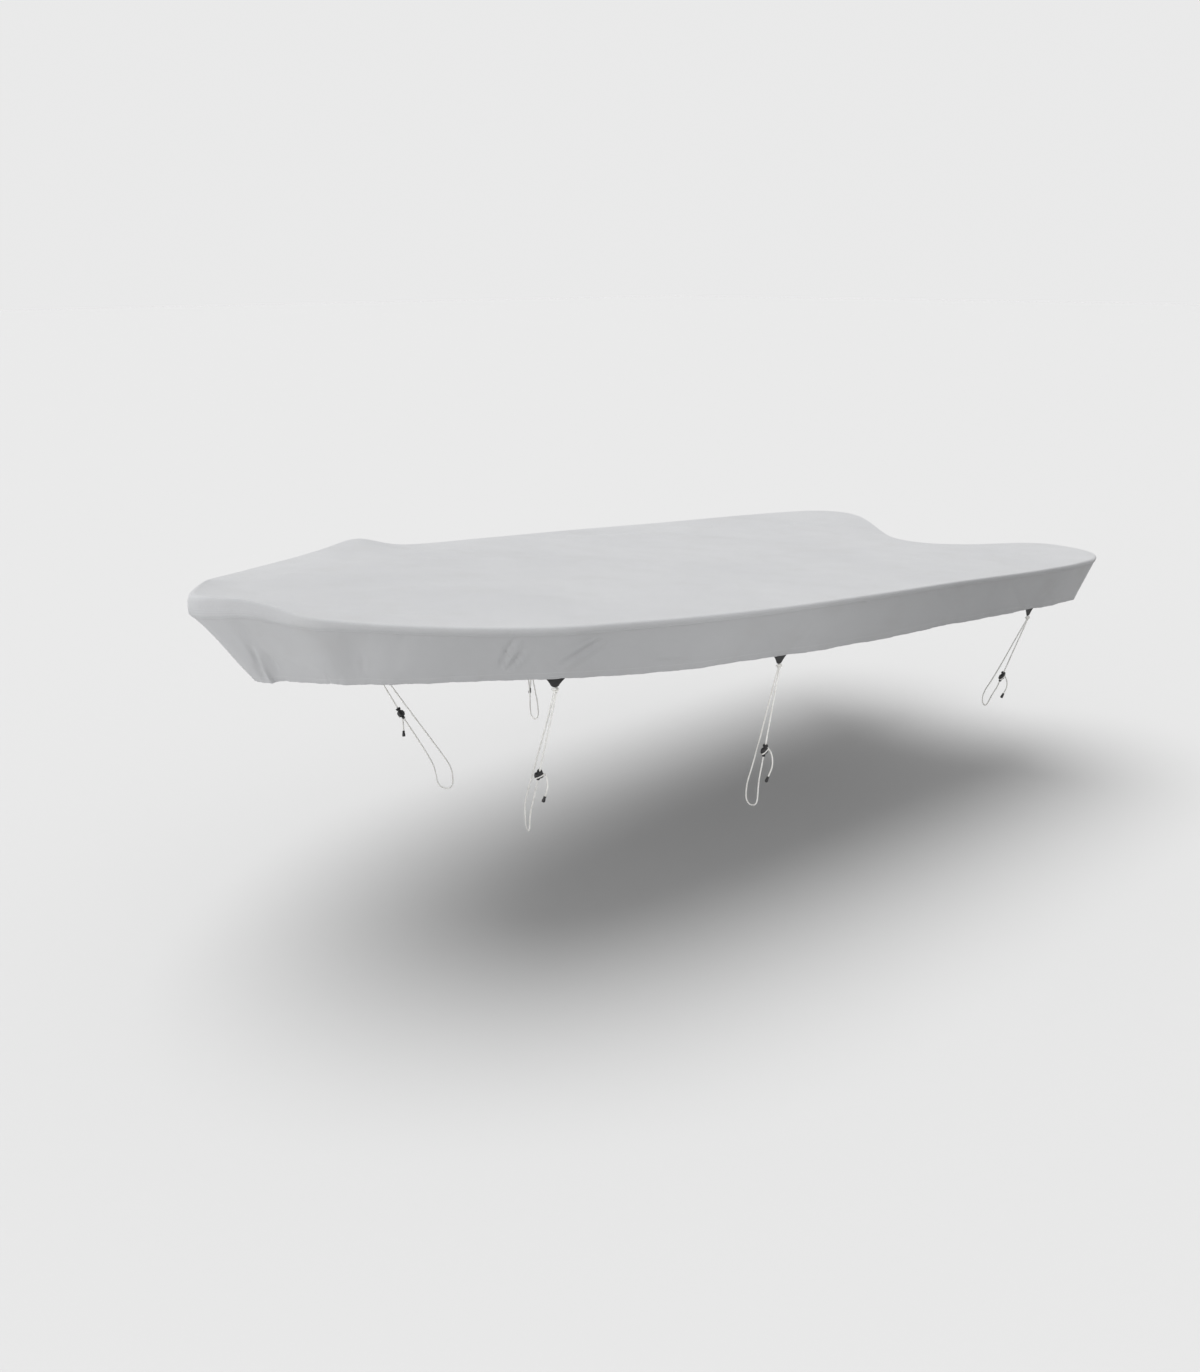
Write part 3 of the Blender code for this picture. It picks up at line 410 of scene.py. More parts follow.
def edge_point(distance, side):
    """Return the point of the top edge in plan, at a distance round the rim on one side."""
    values = rim_values(min(max(distance, 0.0), RIM_END))
    return Vector((values["x"] - side * values["skew"], side * values["half"], 0.0))


def outward(distance, side):
    """Return the rim's outward direction in plan on one side."""
    step = 0.002
    if distance < step:
        return Vector((-1.0, 0.0, 0.0))
    along = edge_point(distance + step, side) - edge_point(distance - step, side)
    return Vector((-side * along.y, side * along.x, 0.0)).normalized()


def spread(first, last, steps):
    """Return evenly spaced values from first to last."""
    return [first + (last - first) * k / steps for k in range(steps + 1)]


def crowded(steps):
    """Return shares from 0 to 1 that stand closer at both ends."""
    return [k / steps - SIDE_CROWDING * math.sin(math.tau * k / steps) / math.tau
            for k in range(steps + 1)]


def side_distances(shares):
    """Return the distances along a side of the rim for shares of its length."""
    return [BOW_END * (1.0 - share) + SIDE_END * share for share in shares]


SKIRT_LINE = (spread(0.0, BOW_END, FINE_BOW) + side_distances(crowded(FINE_SIDE))[1:]
              + spread(SIDE_END, SKIRT_END, FINE_TRANSOM)[1:])
TOP_SHARES = crowded(TOP_ROWS)


def between(a, b, share):
    """Return the point that lies a share of the way from a to b."""
    return a * (1.0 - share) + b * share


def clamped(value):
    """Return a value kept from 0 to 1."""
    return min(max(value, 0.0), 1.0)


def bell(distance, wide):
    """Return 1 at no distance, falling to nothing over a few times a breadth."""
    return math.exp(-(distance / wide) ** 2)


def lift(x, y):
    """Return how far the cloth is lifted by what it passes over on the starboard side."""
    if y < 0.0:
        return 0.0
    inboard = max(LIFT_FROM - y, 0.0)
    return LIFT_HIGH * bell(x - LIFT_X, LIFT_LONG) * bell(inboard, LIFT_WIDE)


def waves(distance, table):
    """Return the sum of a table's waves at a distance."""
    return sum(high * math.sin(math.tau * often * distance + phase)
               for often, high, phase in table)


def top_waves(x, y):
    """Return the slight unevenness of the stretched top cloth."""
    return sum(high * math.sin(math.tau * (often_x * x + often_y * y) + phase)
               for often_x, often_y, high, phase in TOP_WAVES)


def crease_depth(u, v, rows):
    """Return how deep the creases of a table lie at a place given in the table's own axes."""
    depth = 0.0
    for u0, v0, u1, v1, wide, deep, ridge in rows:
        run_u, run_v = u1 - u0, v1 - v0
        length = math.hypot(run_u, run_v)
        along = ((u - u0) * run_u + (v - v0) * run_v) / length
        across = ((u - u0) * run_v - (v - v0) * run_u) / length
        if abs(across) > CREASE_REACH * wide or along < -length or along > 2 * length:
            continue
        share = along / length
        taper = bell(max(-share, share - 1.0, 0.0) * length, CREASE_END * wide)
        taper *= (CREASE_LEAST + (1.0 - CREASE_LEAST)
                  * math.sin(math.pi * clamped(share)) ** CREASE_POWER)
        bank = ridge * bell(across - BANK_AT * wide, BANK_WIDE * wide)
        depth += deep * taper * (bell(across, wide) - bank)
    return depth


class Section:
    """One section of the cover's edge: the roll, the flange and the skirt below it."""

    def __init__(self, distance, side):
        self.distance = distance
        self.side = side
        self.values = rim_values(distance)
        self.flange = self.values["flange"]
        self.out = outward(distance, side)
        self.rim = edge_point(distance, side)
        self.rim.z = self.values["high"] + UNDERSIDE_LIFT
        skirt, lean = self.values["skirt"], self.values["lean"]
        way = Vector((self.out.x, self.out.y * clamped(distance / STEM_LONG), 0.0)).normalized()
        self.down = (Vector((0.0, 0.0, -skirt)) - way * lean).normalized()
        self.length = math.hypot(skirt, lean)
        self.face = Vector((self.out.x * skirt, self.out.y * skirt,
                            -lean * self.out.dot(way))).normalized()

    def roll(self, angle):
        """Return a point of the roll, from 0 at the top edge to 90 degrees at the seam."""
        aside = max(math.sin(angle), 0.0) ** self.values["soft"]
        above = max(math.cos(angle), 0.0) ** self.values["soft"]
        return (self.rim + self.out * self.values["out"] * aside
                - UP * self.values["drop"] * (1.0 - above))

    def swell(self, below):
        """Return how far the skirt swells at a distance below the seam."""
        share = clamped((below - self.flange) / (self.length - self.flange))
        depth = 0.0
        for x, wide, belly, hem in SWELLS:
            depth += (bell(self.values["x"] - x, wide)
                      * (belly * math.sin(math.pi * share) + hem * share ** 2))
        return depth

    def skirt(self, below, inside):
        """Return a point of the plain skirt, given its distances below the seam and inside."""
        edge = self.roll(math.pi / 2)
        return edge + self.down * below + self.face * (self.swell(below) - inside)

    def hollow(self, below):
        """Return how far the stretched skirt draws in between its seam and its hem."""
        share = clamped((below - self.flange) / (self.length - HEM_HIGH - self.flange))
        fade = clamped((HOLLOW_END - self.values["x"]) / HOLLOW_FADE)
        return HOLLOW * fade * math.sin(math.pi * share) * (1.0 - share)

    def folded(self, below, inside):
        """Return a point of the skirt with its creases, puckers and uneven hem."""
        table = CREASES["port" if self.side < 0.0 else "starboard"]
        above = self.length - below
        creases = crease_depth(self.distance, below, table) * min(1.0, below / CREASE_HELD)
        pucker = waves(self.distance, SEAM_WAVES) * bell(below, PUCKER_HIGH)
        ripple = (waves(self.distance + RIPPLE_SHIFT * self.side, HEM_WAVES)
                  * max(0.0, 1.0 - above / RIPPLE_HIGH))
        sewn = HEM_PULL * bell(above - HEM_HIGH + HEM_IN, HEM_PULL_WIDE)
        point = self.skirt(below, inside)
        point += self.face * (ripple + pucker - creases - sewn - self.hollow(below))
        point.z += (DROOP * (below / self.length) ** 4
                    * math.sin(math.tau * DROOP_OFTEN * self.distance + self.side))
        point.z += lift(point.x, point.y) * clamped((point.z - LIFT_FOOT) / LIFT_FADE)
        return point

    def flange_point(self, share):
        """Return a point of the flange, with the slight pull of its stitches."""
        below = self.flange * share
        pull = waves(self.distance + FLANGE_SHIFT * self.side, SEAM_WAVES) * share
        groove = SEAM_PULL * bell(below - self.flange + SEAM_IN, SEAM_PULL_WIDE)
        return (self.skirt(below, 0.0)
                + self.face * (FLANGE_PROUD * share + FLANGE_PUCKER * pull - groove))


# ---------------------------------------------------------------- meshes

def mesh_object(name, points, faces, uvs, sharp):
    """Return a smooth mesh object with hard edges above an angle in degrees.

    Where there are UVs, they have one pair for every corner of every face.
    """
    mesh = bpy.data.meshes.new(name)
    mesh.from_pydata([tuple(p) for p in points], [], faces)
    if uvs:
        layer = mesh.uv_layers.new(name="cloth")
        flat = [value for face in uvs for pair in face for value in pair]
        layer.data.foreach_set("uv", flat)
    mesh.update()
    mesh.shade_smooth()
    mesh.set_sharp_from_angle(angle=math.radians(sharp))
    return link(bpy.data.objects.new(name, mesh))


def applied(obj, name):
    """Return a mesh object of the evaluated object, and remove the object and its modifiers."""
    bpy.context.view_layer.update()
    depsgraph = bpy.context.evaluated_depsgraph_get()
    mesh = bpy.data.meshes.new_from_object(obj.evaluated_get(depsgraph))
    place = obj.matrix_world.copy()
    bpy.data.objects.remove(obj, do_unlink=True)
    mesh.transform(place)
    mesh.name = name
    return link(bpy.data.objects.new(name, mesh))


def grid_faces(rows, columns):
    """Return the faces of a grid of points."""
    starts = [row * columns + column for row in range(rows - 1) for column in range(columns - 1)]
    return [(a, a + columns, a + columns + 1, a + 1) for a in starts]


def grid_edge(rows, columns):
    """Return a grid's edge points as indices, round from its first point."""
    edge = list(range(columns))
    edge += [row * columns + columns - 1 for row in range(1, rows)]
    edge += [(rows - 1) * columns + column for column in range(columns - 2, -1, -1)]
    edge += [row * columns for row in range(rows - 2, 0, -1)]
    return edge


def tube_faces(rings, steps):
    """Return the faces of a closed tube of point rings: its sides, then its two ends."""
    faces = []
    for start in range(0, (rings - 1) * steps, steps):
        for m in range(steps):
            a, b = start + m, start + (m + 1) % steps
            faces.append((a, b, b + steps, a + steps))
    last = (rings - 1) * steps
    return faces + [tuple(range(steps))[::-1], tuple(range(last, last + steps))]


def tube(name, path, radius, sides):
    """Return a round tube along a path, with U round it and V along it in metres."""
    points, uvs, walked = [], [], 0.0
    normal = (path[1] - path[0]).normalized().orthogonal().normalized()
    for k, place in enumerate(path):
        along = (path[min(k + 1, len(path) - 1)] - path[max(k - 1, 0)]).normalized()
        normal = (normal - along * normal.dot(along)).normalized()
        across = along.cross(normal)
        for m in range(sides):
            angle = math.tau * (m / sides)
            points.append(place + (normal * math.cos(angle) + across * math.sin(angle)) * radius)
    shares = [m / sides for m in range(sides + 1)]
    for start, end in zip(path, path[1:]):
        ahead = walked + (end - start).length
        uvs += [((u0, walked), (u1, walked), (u1, ahead), (u0, ahead))
                for u0, u1 in zip(shares, shares[1:])]
        walked = ahead
    uvs.append(tuple((u, 0.0) for u in shares[:-1])[::-1])
    uvs.append(tuple((u, walked) for u in shares[:-1]))
    return mesh_object(name, points, tube_faces(len(path), sides), uvs, sharp=40.0)


def path_length(path):
    """Return the length of a path."""
    return sum((b - a).length for a, b in zip(path, path[1:]))


def curve_points(route, spacing, fine=12):
    """Return points at an even spacing on a smooth curve through the route's points."""
    padded = [route[0] * 2 - route[1]] + list(route) + [route[-1] * 2 - route[-2]]
    dense = [route[0]]
    for p0, p1, p2, p3 in zip(padded, padded[1:], padded[2:], padded[3:]):
        for k in range(1, fine + 1):
            t = k / fine
            dense.append(0.5 * (2 * p1 + (p2 - p0) * t
                                + (2 * p0 - 5 * p1 + 4 * p2 - p3) * t ** 2
                                + (3 * p1 - p0 - 3 * p2 + p3) * t ** 3))
    total = path_length(dense)
    steps = max(2, round(total / spacing))
    even, walked, target = [dense[0]], 0.0, total / steps
    for a, b in zip(dense, dense[1:]):
        length = (b - a).length
        while walked + length >= target - TINY and len(even) < steps:
            even.append(between(a, b, (target - walked) / length))
            target += total / steps
        walked += length
    return even + [dense[-1]]


def lathe(profile, steps):
    """Return points and faces of a turned shape, from (radius, height) points, top to bottom."""
    angles = [math.tau * m / steps for m in range(steps)]
    points = [Vector((radius * math.cos(angle), radius * math.sin(angle), height))
              for radius, height in profile for angle in angles]
    *sides, top, bottom = tube_faces(len(profile), steps)
    return points, [(a, d, c, b) for a, b, c, d in sides] + [top[::-1], bottom[::-1]]


def joined(parts):
    """Return points and faces of several shapes put together."""
    points, faces = [], []
    for more_points, more_faces in parts:
        start = len(points)
        points += more_points
        faces += [tuple(start + k for k in face) for face in more_faces]
    return points, faces


# ---------------------------------------------------------------- cloth meshes

def top_points():
    """Return the fine grid of the top cloth, and the sections of its edge in their order."""
    half = TOP_COLUMNS // 2
    bow_line = spread(0.0, BOW_END, half)
    stern_line = (spread(SIDE_END, SKIRT_END, TOP_TRANSOM)
                  + spread(SKIRT_END, RIM_END, half - TOP_TRANSOM)[1:])
    port, starboard = ([[Section(distance, side) for distance in part]
                        for part in (bow_line, side_distances(TOP_SHARES), stern_line)]
                       for side in SIDES.values())
    bow = [s.rim for s in port[0][::-1]] + [s.rim for s in starboard[0][1:]]
    stern = [s.rim for s in port[2]] + [s.rim for s in starboard[2][-2::-1]]
    grid = []
    for row, aft in enumerate(TOP_SHARES):
        line = []
        for column in range(TOP_COLUMNS + 1):
            across = column / TOP_COLUMNS
            point = between(port[1][row].rim, starboard[1][row].rim, across)
            bow_part = bow[column] - between(bow[0], bow[-1], across)
            stern_part = stern[column] - between(stern[0], stern[-1], across)
            point += bow_part * (1.0 - aft) ** NOSE_FADE + stern_part * aft ** STERN_FADE
            middle = 1.0 - (2.0 * across - 1.0) ** 2
            ends = 4.0 * aft * (1.0 - aft)
            point.z += middle * ends * (CROWN * (1.0 - aft) - SAG)
            point.z += lift(point.x, point.y)
            edge = min(across, 1.0 - across, aft * TOP_HELD_ENDS, (1.0 - aft) * TOP_HELD_ENDS)
            free = 1.0 - bell(edge, TOP_HELD)
            point.z += top_waves(point.x, point.y) * free
            point.z -= (crease_depth(point.x, point.y, FURROWS)
                        * (FURROW_LEAST + (1.0 - FURROW_LEAST) * free))
            line.append(point)
        grid.append(line)
    order = port[0][::-1] + starboard[0][1:] + starboard[1][1:] + starboard[2][1:]
    order += port[2][-2::-1] + port[1][-2:0:-1]
    return grid, order


def edge_ring(sections, on_roll, share):
    """Return one ring of points of the top's edge, on its roll or on its flange."""
    ring = []
    for section in sections:
        if on_roll:
            point = section.roll(math.pi / 2 * share)
            point += section.face * waves(section.distance, SEAM_WAVES) * ROLL_PUCKER * share
        else:
            point = section.flange_point(share)
        point.z += lift(point.x, point.y)
        ring.append(point)
    return ring


def top_cloth():
    """Return the top cloth with its rolled edge and turned-down flange."""
    grid, sections = top_points()
    rows, columns = len(grid), len(grid[0])
    points = [point for line in grid for point in line]
    faces = grid_faces(rows, columns)
    uvs = [tuple((points[k].x, points[k].y) for k in face) for face in faces]
    ring, walked = grid_edge(rows, columns), 0.0
    levels = [(True, k / ROLL_RINGS, ROLL_RUN / ROLL_RINGS) for k in range(1, ROLL_RINGS + 1)]
    levels += [(False, k / FLANGE_RINGS, FLANGE_RUN / FLANGE_RINGS)
               for k in range(1, FLANGE_RINGS + 1)]
    for on_roll, share, step in levels:
        after = list(range(len(points), len(points) + len(sections)))
        points += edge_ring(sections, on_roll, share)
        for k in range(len(ring)):
            n = (k + 1) % len(ring)
            faces.append((ring[k], ring[n], after[n], after[k]))
            d0 = sections[k].distance * sections[k].side
            d1 = sections[n].distance * sections[n].side
            if abs(d1 - d0) > 0.5:      # the sides meet at the stern, and the distance jumps
                d1 = d0 + 0.01
            uvs.append(((d0, walked), (d1, walked), (d1, walked - step), (d0, walked - step)))
        walked -= step
        ring = after
    cloth = mesh_object("cloth_top", points, faces, uvs, sharp=60.0)
    thick = cloth.modifiers.new("thickness", "SOLIDIFY")
    thick.thickness = CLOTH
    thick.offset = -1.0
    thick.use_even_offset = True
    return applied(cloth, "cloth_top")


def skirt_outline(section):
    """Return the closed outline of the skirt at one section, with the cloth's run round it."""
    inside = CLOTH + GAP
    length, hem_top = section.length, section.length - HEM_HIGH
    down = [SKIRT_TOP + (hem_top - SKIRT_TOP) * k / SKIRT_RINGS for k in range(SKIRT_RINGS)]
    hem = [hem_top + HEM_HIGH * k / HEM_RINGS for k in range(HEM_RINGS + 1)]
    outer = [(below, inside) for below in down + hem]
    fold = [(length + FOLD_LOW, inside + 0.5 * CLOTH), (length + FOLD_LOW, inside + 1.5 * CLOTH)]
    doubled = [(below, inside + 2 * CLOTH) for below in hem[::-1]]
    inner = [(below, inside + CLOTH) for below in (down + hem[:1])[::-1]]
    points = [section.folded(below, depth) for below, depth in outer + fold + doubled + inner]
    runs = [below for below, depth in outer] + [length + FOLD_RUN, length + 2 * FOLD_RUN]
    runs += [2 * length - below + 3 * FOLD_RUN for below, depth in doubled + inner]
    return points, runs


def skirt_cloth(name, side):
    """Return one side skirt, hem doubled, from the stem round to the motor's cut-out."""
    points, uvs, runs, places = [], [], [], []
    for distance in SKIRT_LINE:
        outline, run = skirt_outline(Section(distance, side))
        for point in outline:
            point.y = side * max(side * point.y, GAP / 2)
        points += outline
        runs += run
        places += [distance] * len(outline)
    count = len(outline)
    faces = tube_faces(len(SKIRT_LINE), count)
    for a, b, c, d in faces[:-2]:
        wrap = runs[b] if b > a else runs[a] + CLOTH
        uvs.append(((places[a], runs[a]), (places[b], wrap), (places[c], wrap),
                    (places[d], runs[d])))
    uvs += [tuple((places[face[0]], runs[k % count]) for k in face) for face in faces[-2:]]
    if side > 0.0:
        faces = [face[::-1] for face in faces]
        uvs = [pairs[::-1] for pairs in uvs]
    return mesh_object(name, points, faces, uvs, sharp=60.0)


def strip_area(upper, lower):
    """Return the area of a strip of cloth between two edges, each a list of points."""
    area = 0.0
    for a, b, c, d in zip(upper, upper[1:], lower, lower[1:]):
        area += ((b - a).length + (d - c).length) * ((c - a).length + (d - b).length) / 4
    return area


def skirt_cut(side):
    """Return the flat area that a skirt is cut to, with its hem laid open."""
    sections = [Section(distance, side) for distance in spread(0.0, SKIRT_END, CUT_STEPS)]
    seam = [section.skirt(0.0, 0.0) for section in sections]
    hem = [section.skirt(section.length, 0.0) for section in sections]
    fold = [section.skirt(section.length - HEM_HIGH, 0.0) for section in sections]
    return strip_area(seam, hem) + strip_area(fold, hem)


def top_cut():
    """Return the flat area that the top is cut to, with its roll and its flange."""
    area = 0.0
    for side in SIDES.values():
        sections = [Section(distance, side) for distance in spread(0.0, RIM_END, CUT_STEPS)]
        for a, b in zip(sections, sections[1:]):
            run = math.hypot(b.rim.x - a.rim.x, b.rim.z - a.rim.z)
            area += (math.copysign(run, b.rim.x - a.rim.x)
                     * (abs(a.rim.y) + abs(b.rim.y)) / 2)
        edges = [[section.roll(math.pi / 2 * k / CUT_ROLL) for section in sections]
                 for k in range(CUT_ROLL + 1)]
        edges.append([section.skirt(section.flange, 0.0) for section in sections])
        area += sum(strip_area(upper, lower) for upper, lower in zip(edges, edges[1:]))
    return area


# ---------------------------------------------------------------- ties

CAD_SIDE = side_distances(crowded(SIDE_STEPS))


def hem_place(x, side, inside):
    """Return the plain hem's point at x, its slope and its distance round the rim."""
    sections = [Section(distance, side) for distance in CAD_SIDE]
    for before, after in zip(sections, sections[1:]):
        start = before.skirt(before.length, inside)
        end = after.skirt(after.length, inside)
        if end.x >= x:
            share = (x - start.x) / (end.x - start.x)
            return (between(start, end, share), between(before.down, after.down, share),
                    before.distance * (1.0 - share) + after.distance * share)
    raise ValueError("no hem at this x")


class Tie:
    """The place and axes of one tie: its tab, knot, lock and the routes of its cords."""

    def __init__(self, place, side_name):
        data, self.side = TIES[place], SIDES[side_name]
        self.label = place + "_" + side_name
        inside = 3 * CLOTH + GAP + TAB_GAP + TAB_THICK / 2
        start, slope_start, d_start = hem_place(data["x"] - TAB_TOP / 2, self.side, inside)
        end, slope_end, d_end = hem_place(data["x"] + TAB_TOP / 2, self.side, inside)
        self.distance = 0.5 * (d_start + d_end)
        self.across, self.hem = (end - start).normalized(), between(start, end, 0.5)
        skirt_down = between(slope_start, slope_end, 0.5).normalized()
        self.tab_down = (skirt_down - UP * TAB_UPRIGHT).normalized()
        self.knot = self.hem + self.tab_down * (TAB_LONG + GAP + KNOT[2])
        heading = math.radians(data["heading"])
        self.inboard = Vector((math.cos(heading), -self.side * math.sin(heading), 0.0))
        self.aft = Vector((math.sin(heading), self.side * math.cos(heading), 0.0))
        self.lock = self.placed([data["lock"]])[0]
        self.long = self.placed(data["long"])
        self.long.insert(0, self.strand_start(self.long[0], -STRAND))
        self.short_start = self.strand_start(self.lock, STRAND)
        self.axis = (self.lock - self.short_start).normalized()
        self.long.append(self.lock + self.axis * (LOCK_HIGH / 2 + NUB_HIGH + GAP))
        self.short_end = self.lock - self.axis * (LOCK_HIGH / 2 + BUTTON_HIGH + GAP)
        leave = self.lock + self.aft * (LOCK_WIDE / 2 + GAP)
        self.tail = [leave, leave + self.aft * CORD] + self.placed(data["tail"])
        self.tail_down = (self.tail[-1] - self.tail[-2]).normalized()

    def placed(self, route):
        """Return a route's points in the cover's axes."""
        return [self.knot + self.inboard * inboard + self.aft * aft - UP * down
                for inboard, aft, down in route]

    def strand_start(self, towards, beside):
        """Return where a strand leaves the knot's base."""
        along = (towards - self.knot).normalized()
        slant = self.tab_down.cross(along).length
        return (self.knot + self.aft * beside
                + self.tab_down * (KNOT_BASE + GAP + CORD / 2 * slant))


ALL_TIES = [Tie(place, side_name) for place in TIES for side_name in SIDES]


def facing_frame(right, up, place):
    """Return a frame at a place, with x to the right and y as near to up as it can be."""
    facing = right.cross(up).normalized()
    return axes_at(right, facing.cross(right), facing, place)


def hung_frame(place, along, across):
    """Return a frame at a place, with -Z along a direction and X across it."""
    up = -along.normalized()
    front = up.cross(across).normalized()
    return axes_at(front.cross(up), front, up, place)


def moved(points, place):
    """Return points moved into a frame."""
    return [place @ point for point in points]


CORD_SIDES, CORD_STEP = 12, 0.0035
BITE = 0.0045           # how far a strand's end runs up into its knot

TAB_ROWS, TAB_COLUMNS = 22, 30
TAB_TAPER = 1.04        # the tab reaches its tip's breadth a little before its end
TAB_WAIST = 0.0022      # how far its sides draw in half-way
TIP_FROM, TIP_CUT = 0.86, 0.0050    # where its tip begins to round off, and by how much
TAB_SOFT = 0.0012       # breadth of the webbing's rounded edge, and the share of its
TAB_BLUNT = 0.5         # thickness that the edge keeps
LEG_TURN = math.radians(38.0)       # how far each leg of the folded webbing leans
LEG_SLOPE, LEG_STEP = 0.30, 0.0007  # slope of the line where the legs cross, and its breadth
FOLD_RIDGE = 0.00045    # how high the upper leg stands over the lower one
DENT_DEEP, DENT_WIDE, DENT_FROM = 0.0006, 0.004, 0.6    # the cord's dent near the tip
RELIEF = 0.7            # share of ridge and dent that each face takes
TAB_CURL, CURL_WIDE, TAB_CUP = 0.0020, 1.2, 0.0006      # how the tab curls away from the hem


def tab_piece(tie):
    """Return a tab: webbing folded at its tip into two legs that are sewn behind the hem."""
    points, faces, uvs, flat = [], [], [], []
    for layer in (1.0, -1.0):
        for row in range(TAB_ROWS + 1):
            y = TAB_SEWN - (TAB_SEWN + TAB_LONG) * row / TAB_ROWS
            fall = max(-y, 0.0) / TAB_LONG
            half = TAB_TOP / 2 + (TAB_TIP / 2 - TAB_TOP / 2) * min(fall * TAB_TAPER, 1.0)
            half -= TAB_WAIST * math.sin(math.pi * fall)
            half -= TIP_CUT * (max(fall - TIP_FROM, 0.0) / (1.0 - TIP_FROM)) ** 2
            for column in range(TAB_COLUMNS + 1):
                s = 2.0 * column / TAB_COLUMNS - 1.0
                x = half * s
                rim = min(1.0, (1.0 - abs(s)) * half / TAB_SOFT,
                          (1.0 - fall) * TAB_LONG / TAB_SOFT)
                edge = (math.sqrt(max(1.0 - (1.0 - rim) ** 2, 0.0)) * (1.0 - TAB_BLUNT)
                        + TAB_BLUNT * (rim > 0.0))
                leg = math.tanh((x - LEG_SLOPE * (y + TAB_LONG)) / LEG_STEP)
                relief = FOLD_RIDGE * (0.5 + 0.5 * leg) * (y < TAB_SEWN)
                relief -= (DENT_DEEP * bell(x, DENT_WIDE)
                           * max(fall - DENT_FROM, 0.0) / (1.0 - DENT_FROM))
                z = layer * (TAB_THICK / 2 * edge) + layer * relief * RELIEF
                z += TAB_CURL * fall ** 2 * math.cos(s * CURL_WIDE) - TAB_CUP * s * s * fall
                points.append(Vector((x, y, z)))
                flat.append((x, y))
    rows, columns = TAB_ROWS + 1, TAB_COLUMNS + 1
    block = rows * columns
    for a, b, c, d in grid_faces(rows, columns):
        faces += [(a, b, c, d), (block + a, block + d, block + c, block + b)]
    border = grid_edge(rows, columns)
    faces += [(a, b, block + b, block + a) for a, b in zip(border, border[1:] + border[:1])]
    for face in faces:
        middle = sum(flat[k][0] for k in face) / len(face)
        height = sum(flat[k][1] for k in face) / len(face)
        turn = LEG_TURN if middle > LEG_SLOPE * (height + TAB_LONG) else -LEG_TURN
        uvs.append(tuple((flat[k][0] * math.cos(turn) - flat[k][1] * math.sin(turn),
                          flat[k][0] * math.sin(turn) + flat[k][1] * math.cos(turn))
                         for k in face))
    place = facing_frame(tie.across, -tie.tab_down, tie.hem)
    piece = mesh_object("webbing_" + tie.label, moved(points, place), faces, uvs, sharp=50.0)
    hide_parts("tab_" + tie.label)
    return piece


KNOT_STEPS, KNOT_START = 96, 0.26   # steps round the knot's path, and where it starts
KNOT_WIDER, KNOT_LONGER, KNOT_FATTER = 1.12, 1.05, 1.04     # drawn up a little proud
KNOT_RAISED = 0.0006


def knot_piece(tie):
    """Return the knot: the cord's overhand turns, drawn up tight below the tab."""
    reach, thick = KNOT[0] - CORD / 2, KNOT[1] - CORD / 2
    path = []
    for k in range(KNOT_STEPS + 1):
        t = math.tau * k / KNOT_STEPS + KNOT_START
        x = (math.sin(t) + 2.0 * math.sin(2.0 * t)) / 3.0 * reach * KNOT_WIDER
        z = (math.cos(t) - 2.0 * math.cos(2.0 * t)) / 3.0 * reach * KNOT_LONGER
        path.append(Vector((x, -math.sin(3.0 * t) * thick, z + KNOT_RAISED)))
    place = facing_frame(tie.across, tie.across.cross(tie.tab_down), tie.knot)
    piece = tube("knotted_" + tie.label, moved(path, place), CORD / 2 * KNOT_FATTER, CORD_SIDES)
    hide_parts("knot_" + tie.label)
    return piece


BARREL_STEPS, BARREL_RINGS = 48, 22
BARREL_BULGE, BARREL_ROUND, BARREL_END = 3.2, 0.32, 0.55    # profile and narrowest share
BARREL_CORNERS = 3.0    # power of its outline: 2 is an ellipse, and more is squarer
GROOVE_DEEP, GROOVE_WIDE, GROOVE_FADE = 0.0032, 0.0031, 1.3     # where the cord crosses it
GROOVE_SLOPE, GROOVE_LOW = 0.60, 0.001
GROOVE_SQUARE = 0.857   # makes its breadth square to its slope
MOULD_DEEP, MOULD_WIDE = 0.00035, 0.0006    # line where the barrel's two halves meet
BUTTON_STEPS, NUB_STEPS, LIP_STEPS, CAP_STEPS = 36, 32, 28, 32
RIBS, RIB_DEEP, RIB_PITCH, RIB_TOP = 3, 0.0007, 0.0016, 0.0034
STEM_R = BUTTON_R - 0.003
LIP_IN = 0.0012         # how far the lip round the tail's exit is let into the barrel
# Profiles are (radius, height) pairs, top to bottom. Heights are from the button's top, a rib's
# upper edge, the barrel's top and bottom, the barrel's side, and the cap's throat.
BUTTON_CROWN = ((0.0012, -0.0008), (0.0034, -0.0002), (BUTTON_R * 0.62, 0.0),
                (BUTTON_R * 0.86, -0.0009), (BUTTON_R * 0.97, -0.0024))
RIB = ((BUTTON_R, 0.0), (BUTTON_R - RIB_DEEP, -0.0005), (BUTTON_R - RIB_DEEP, -0.0009),
       (BUTTON_R, -0.0013))
BUTTON_STEM = ((BUTTON_R * 0.97, 0.0058), (STEM_R, 0.0044), (STEM_R, -0.004))
NUB = ((NUB_R - 0.0015, 0.003), (NUB_R, -0.0010), (NUB_R + 0.0004, -0.0026),
       (NUB_R - 0.0002, -0.0040), (NUB_R - 0.0004, -NUB_HIGH + 0.0030),
       (NUB_R, -NUB_HIGH + 0.0020), (NUB_R - 0.0004, -NUB_HIGH + 0.0006),
       (NUB_R - 0.0014, -NUB_HIGH), (CORD / 2 + 0.0003, -NUB_HIGH + 0.0004))
LIP = ((CORD / 2 + 0.0019, 0.0002), (CORD / 2 + 0.0016, 0.0010), (CORD / 2 + 0.0008, 0.0012),
       (CORD / 2 + 0.0002, 0.0004))
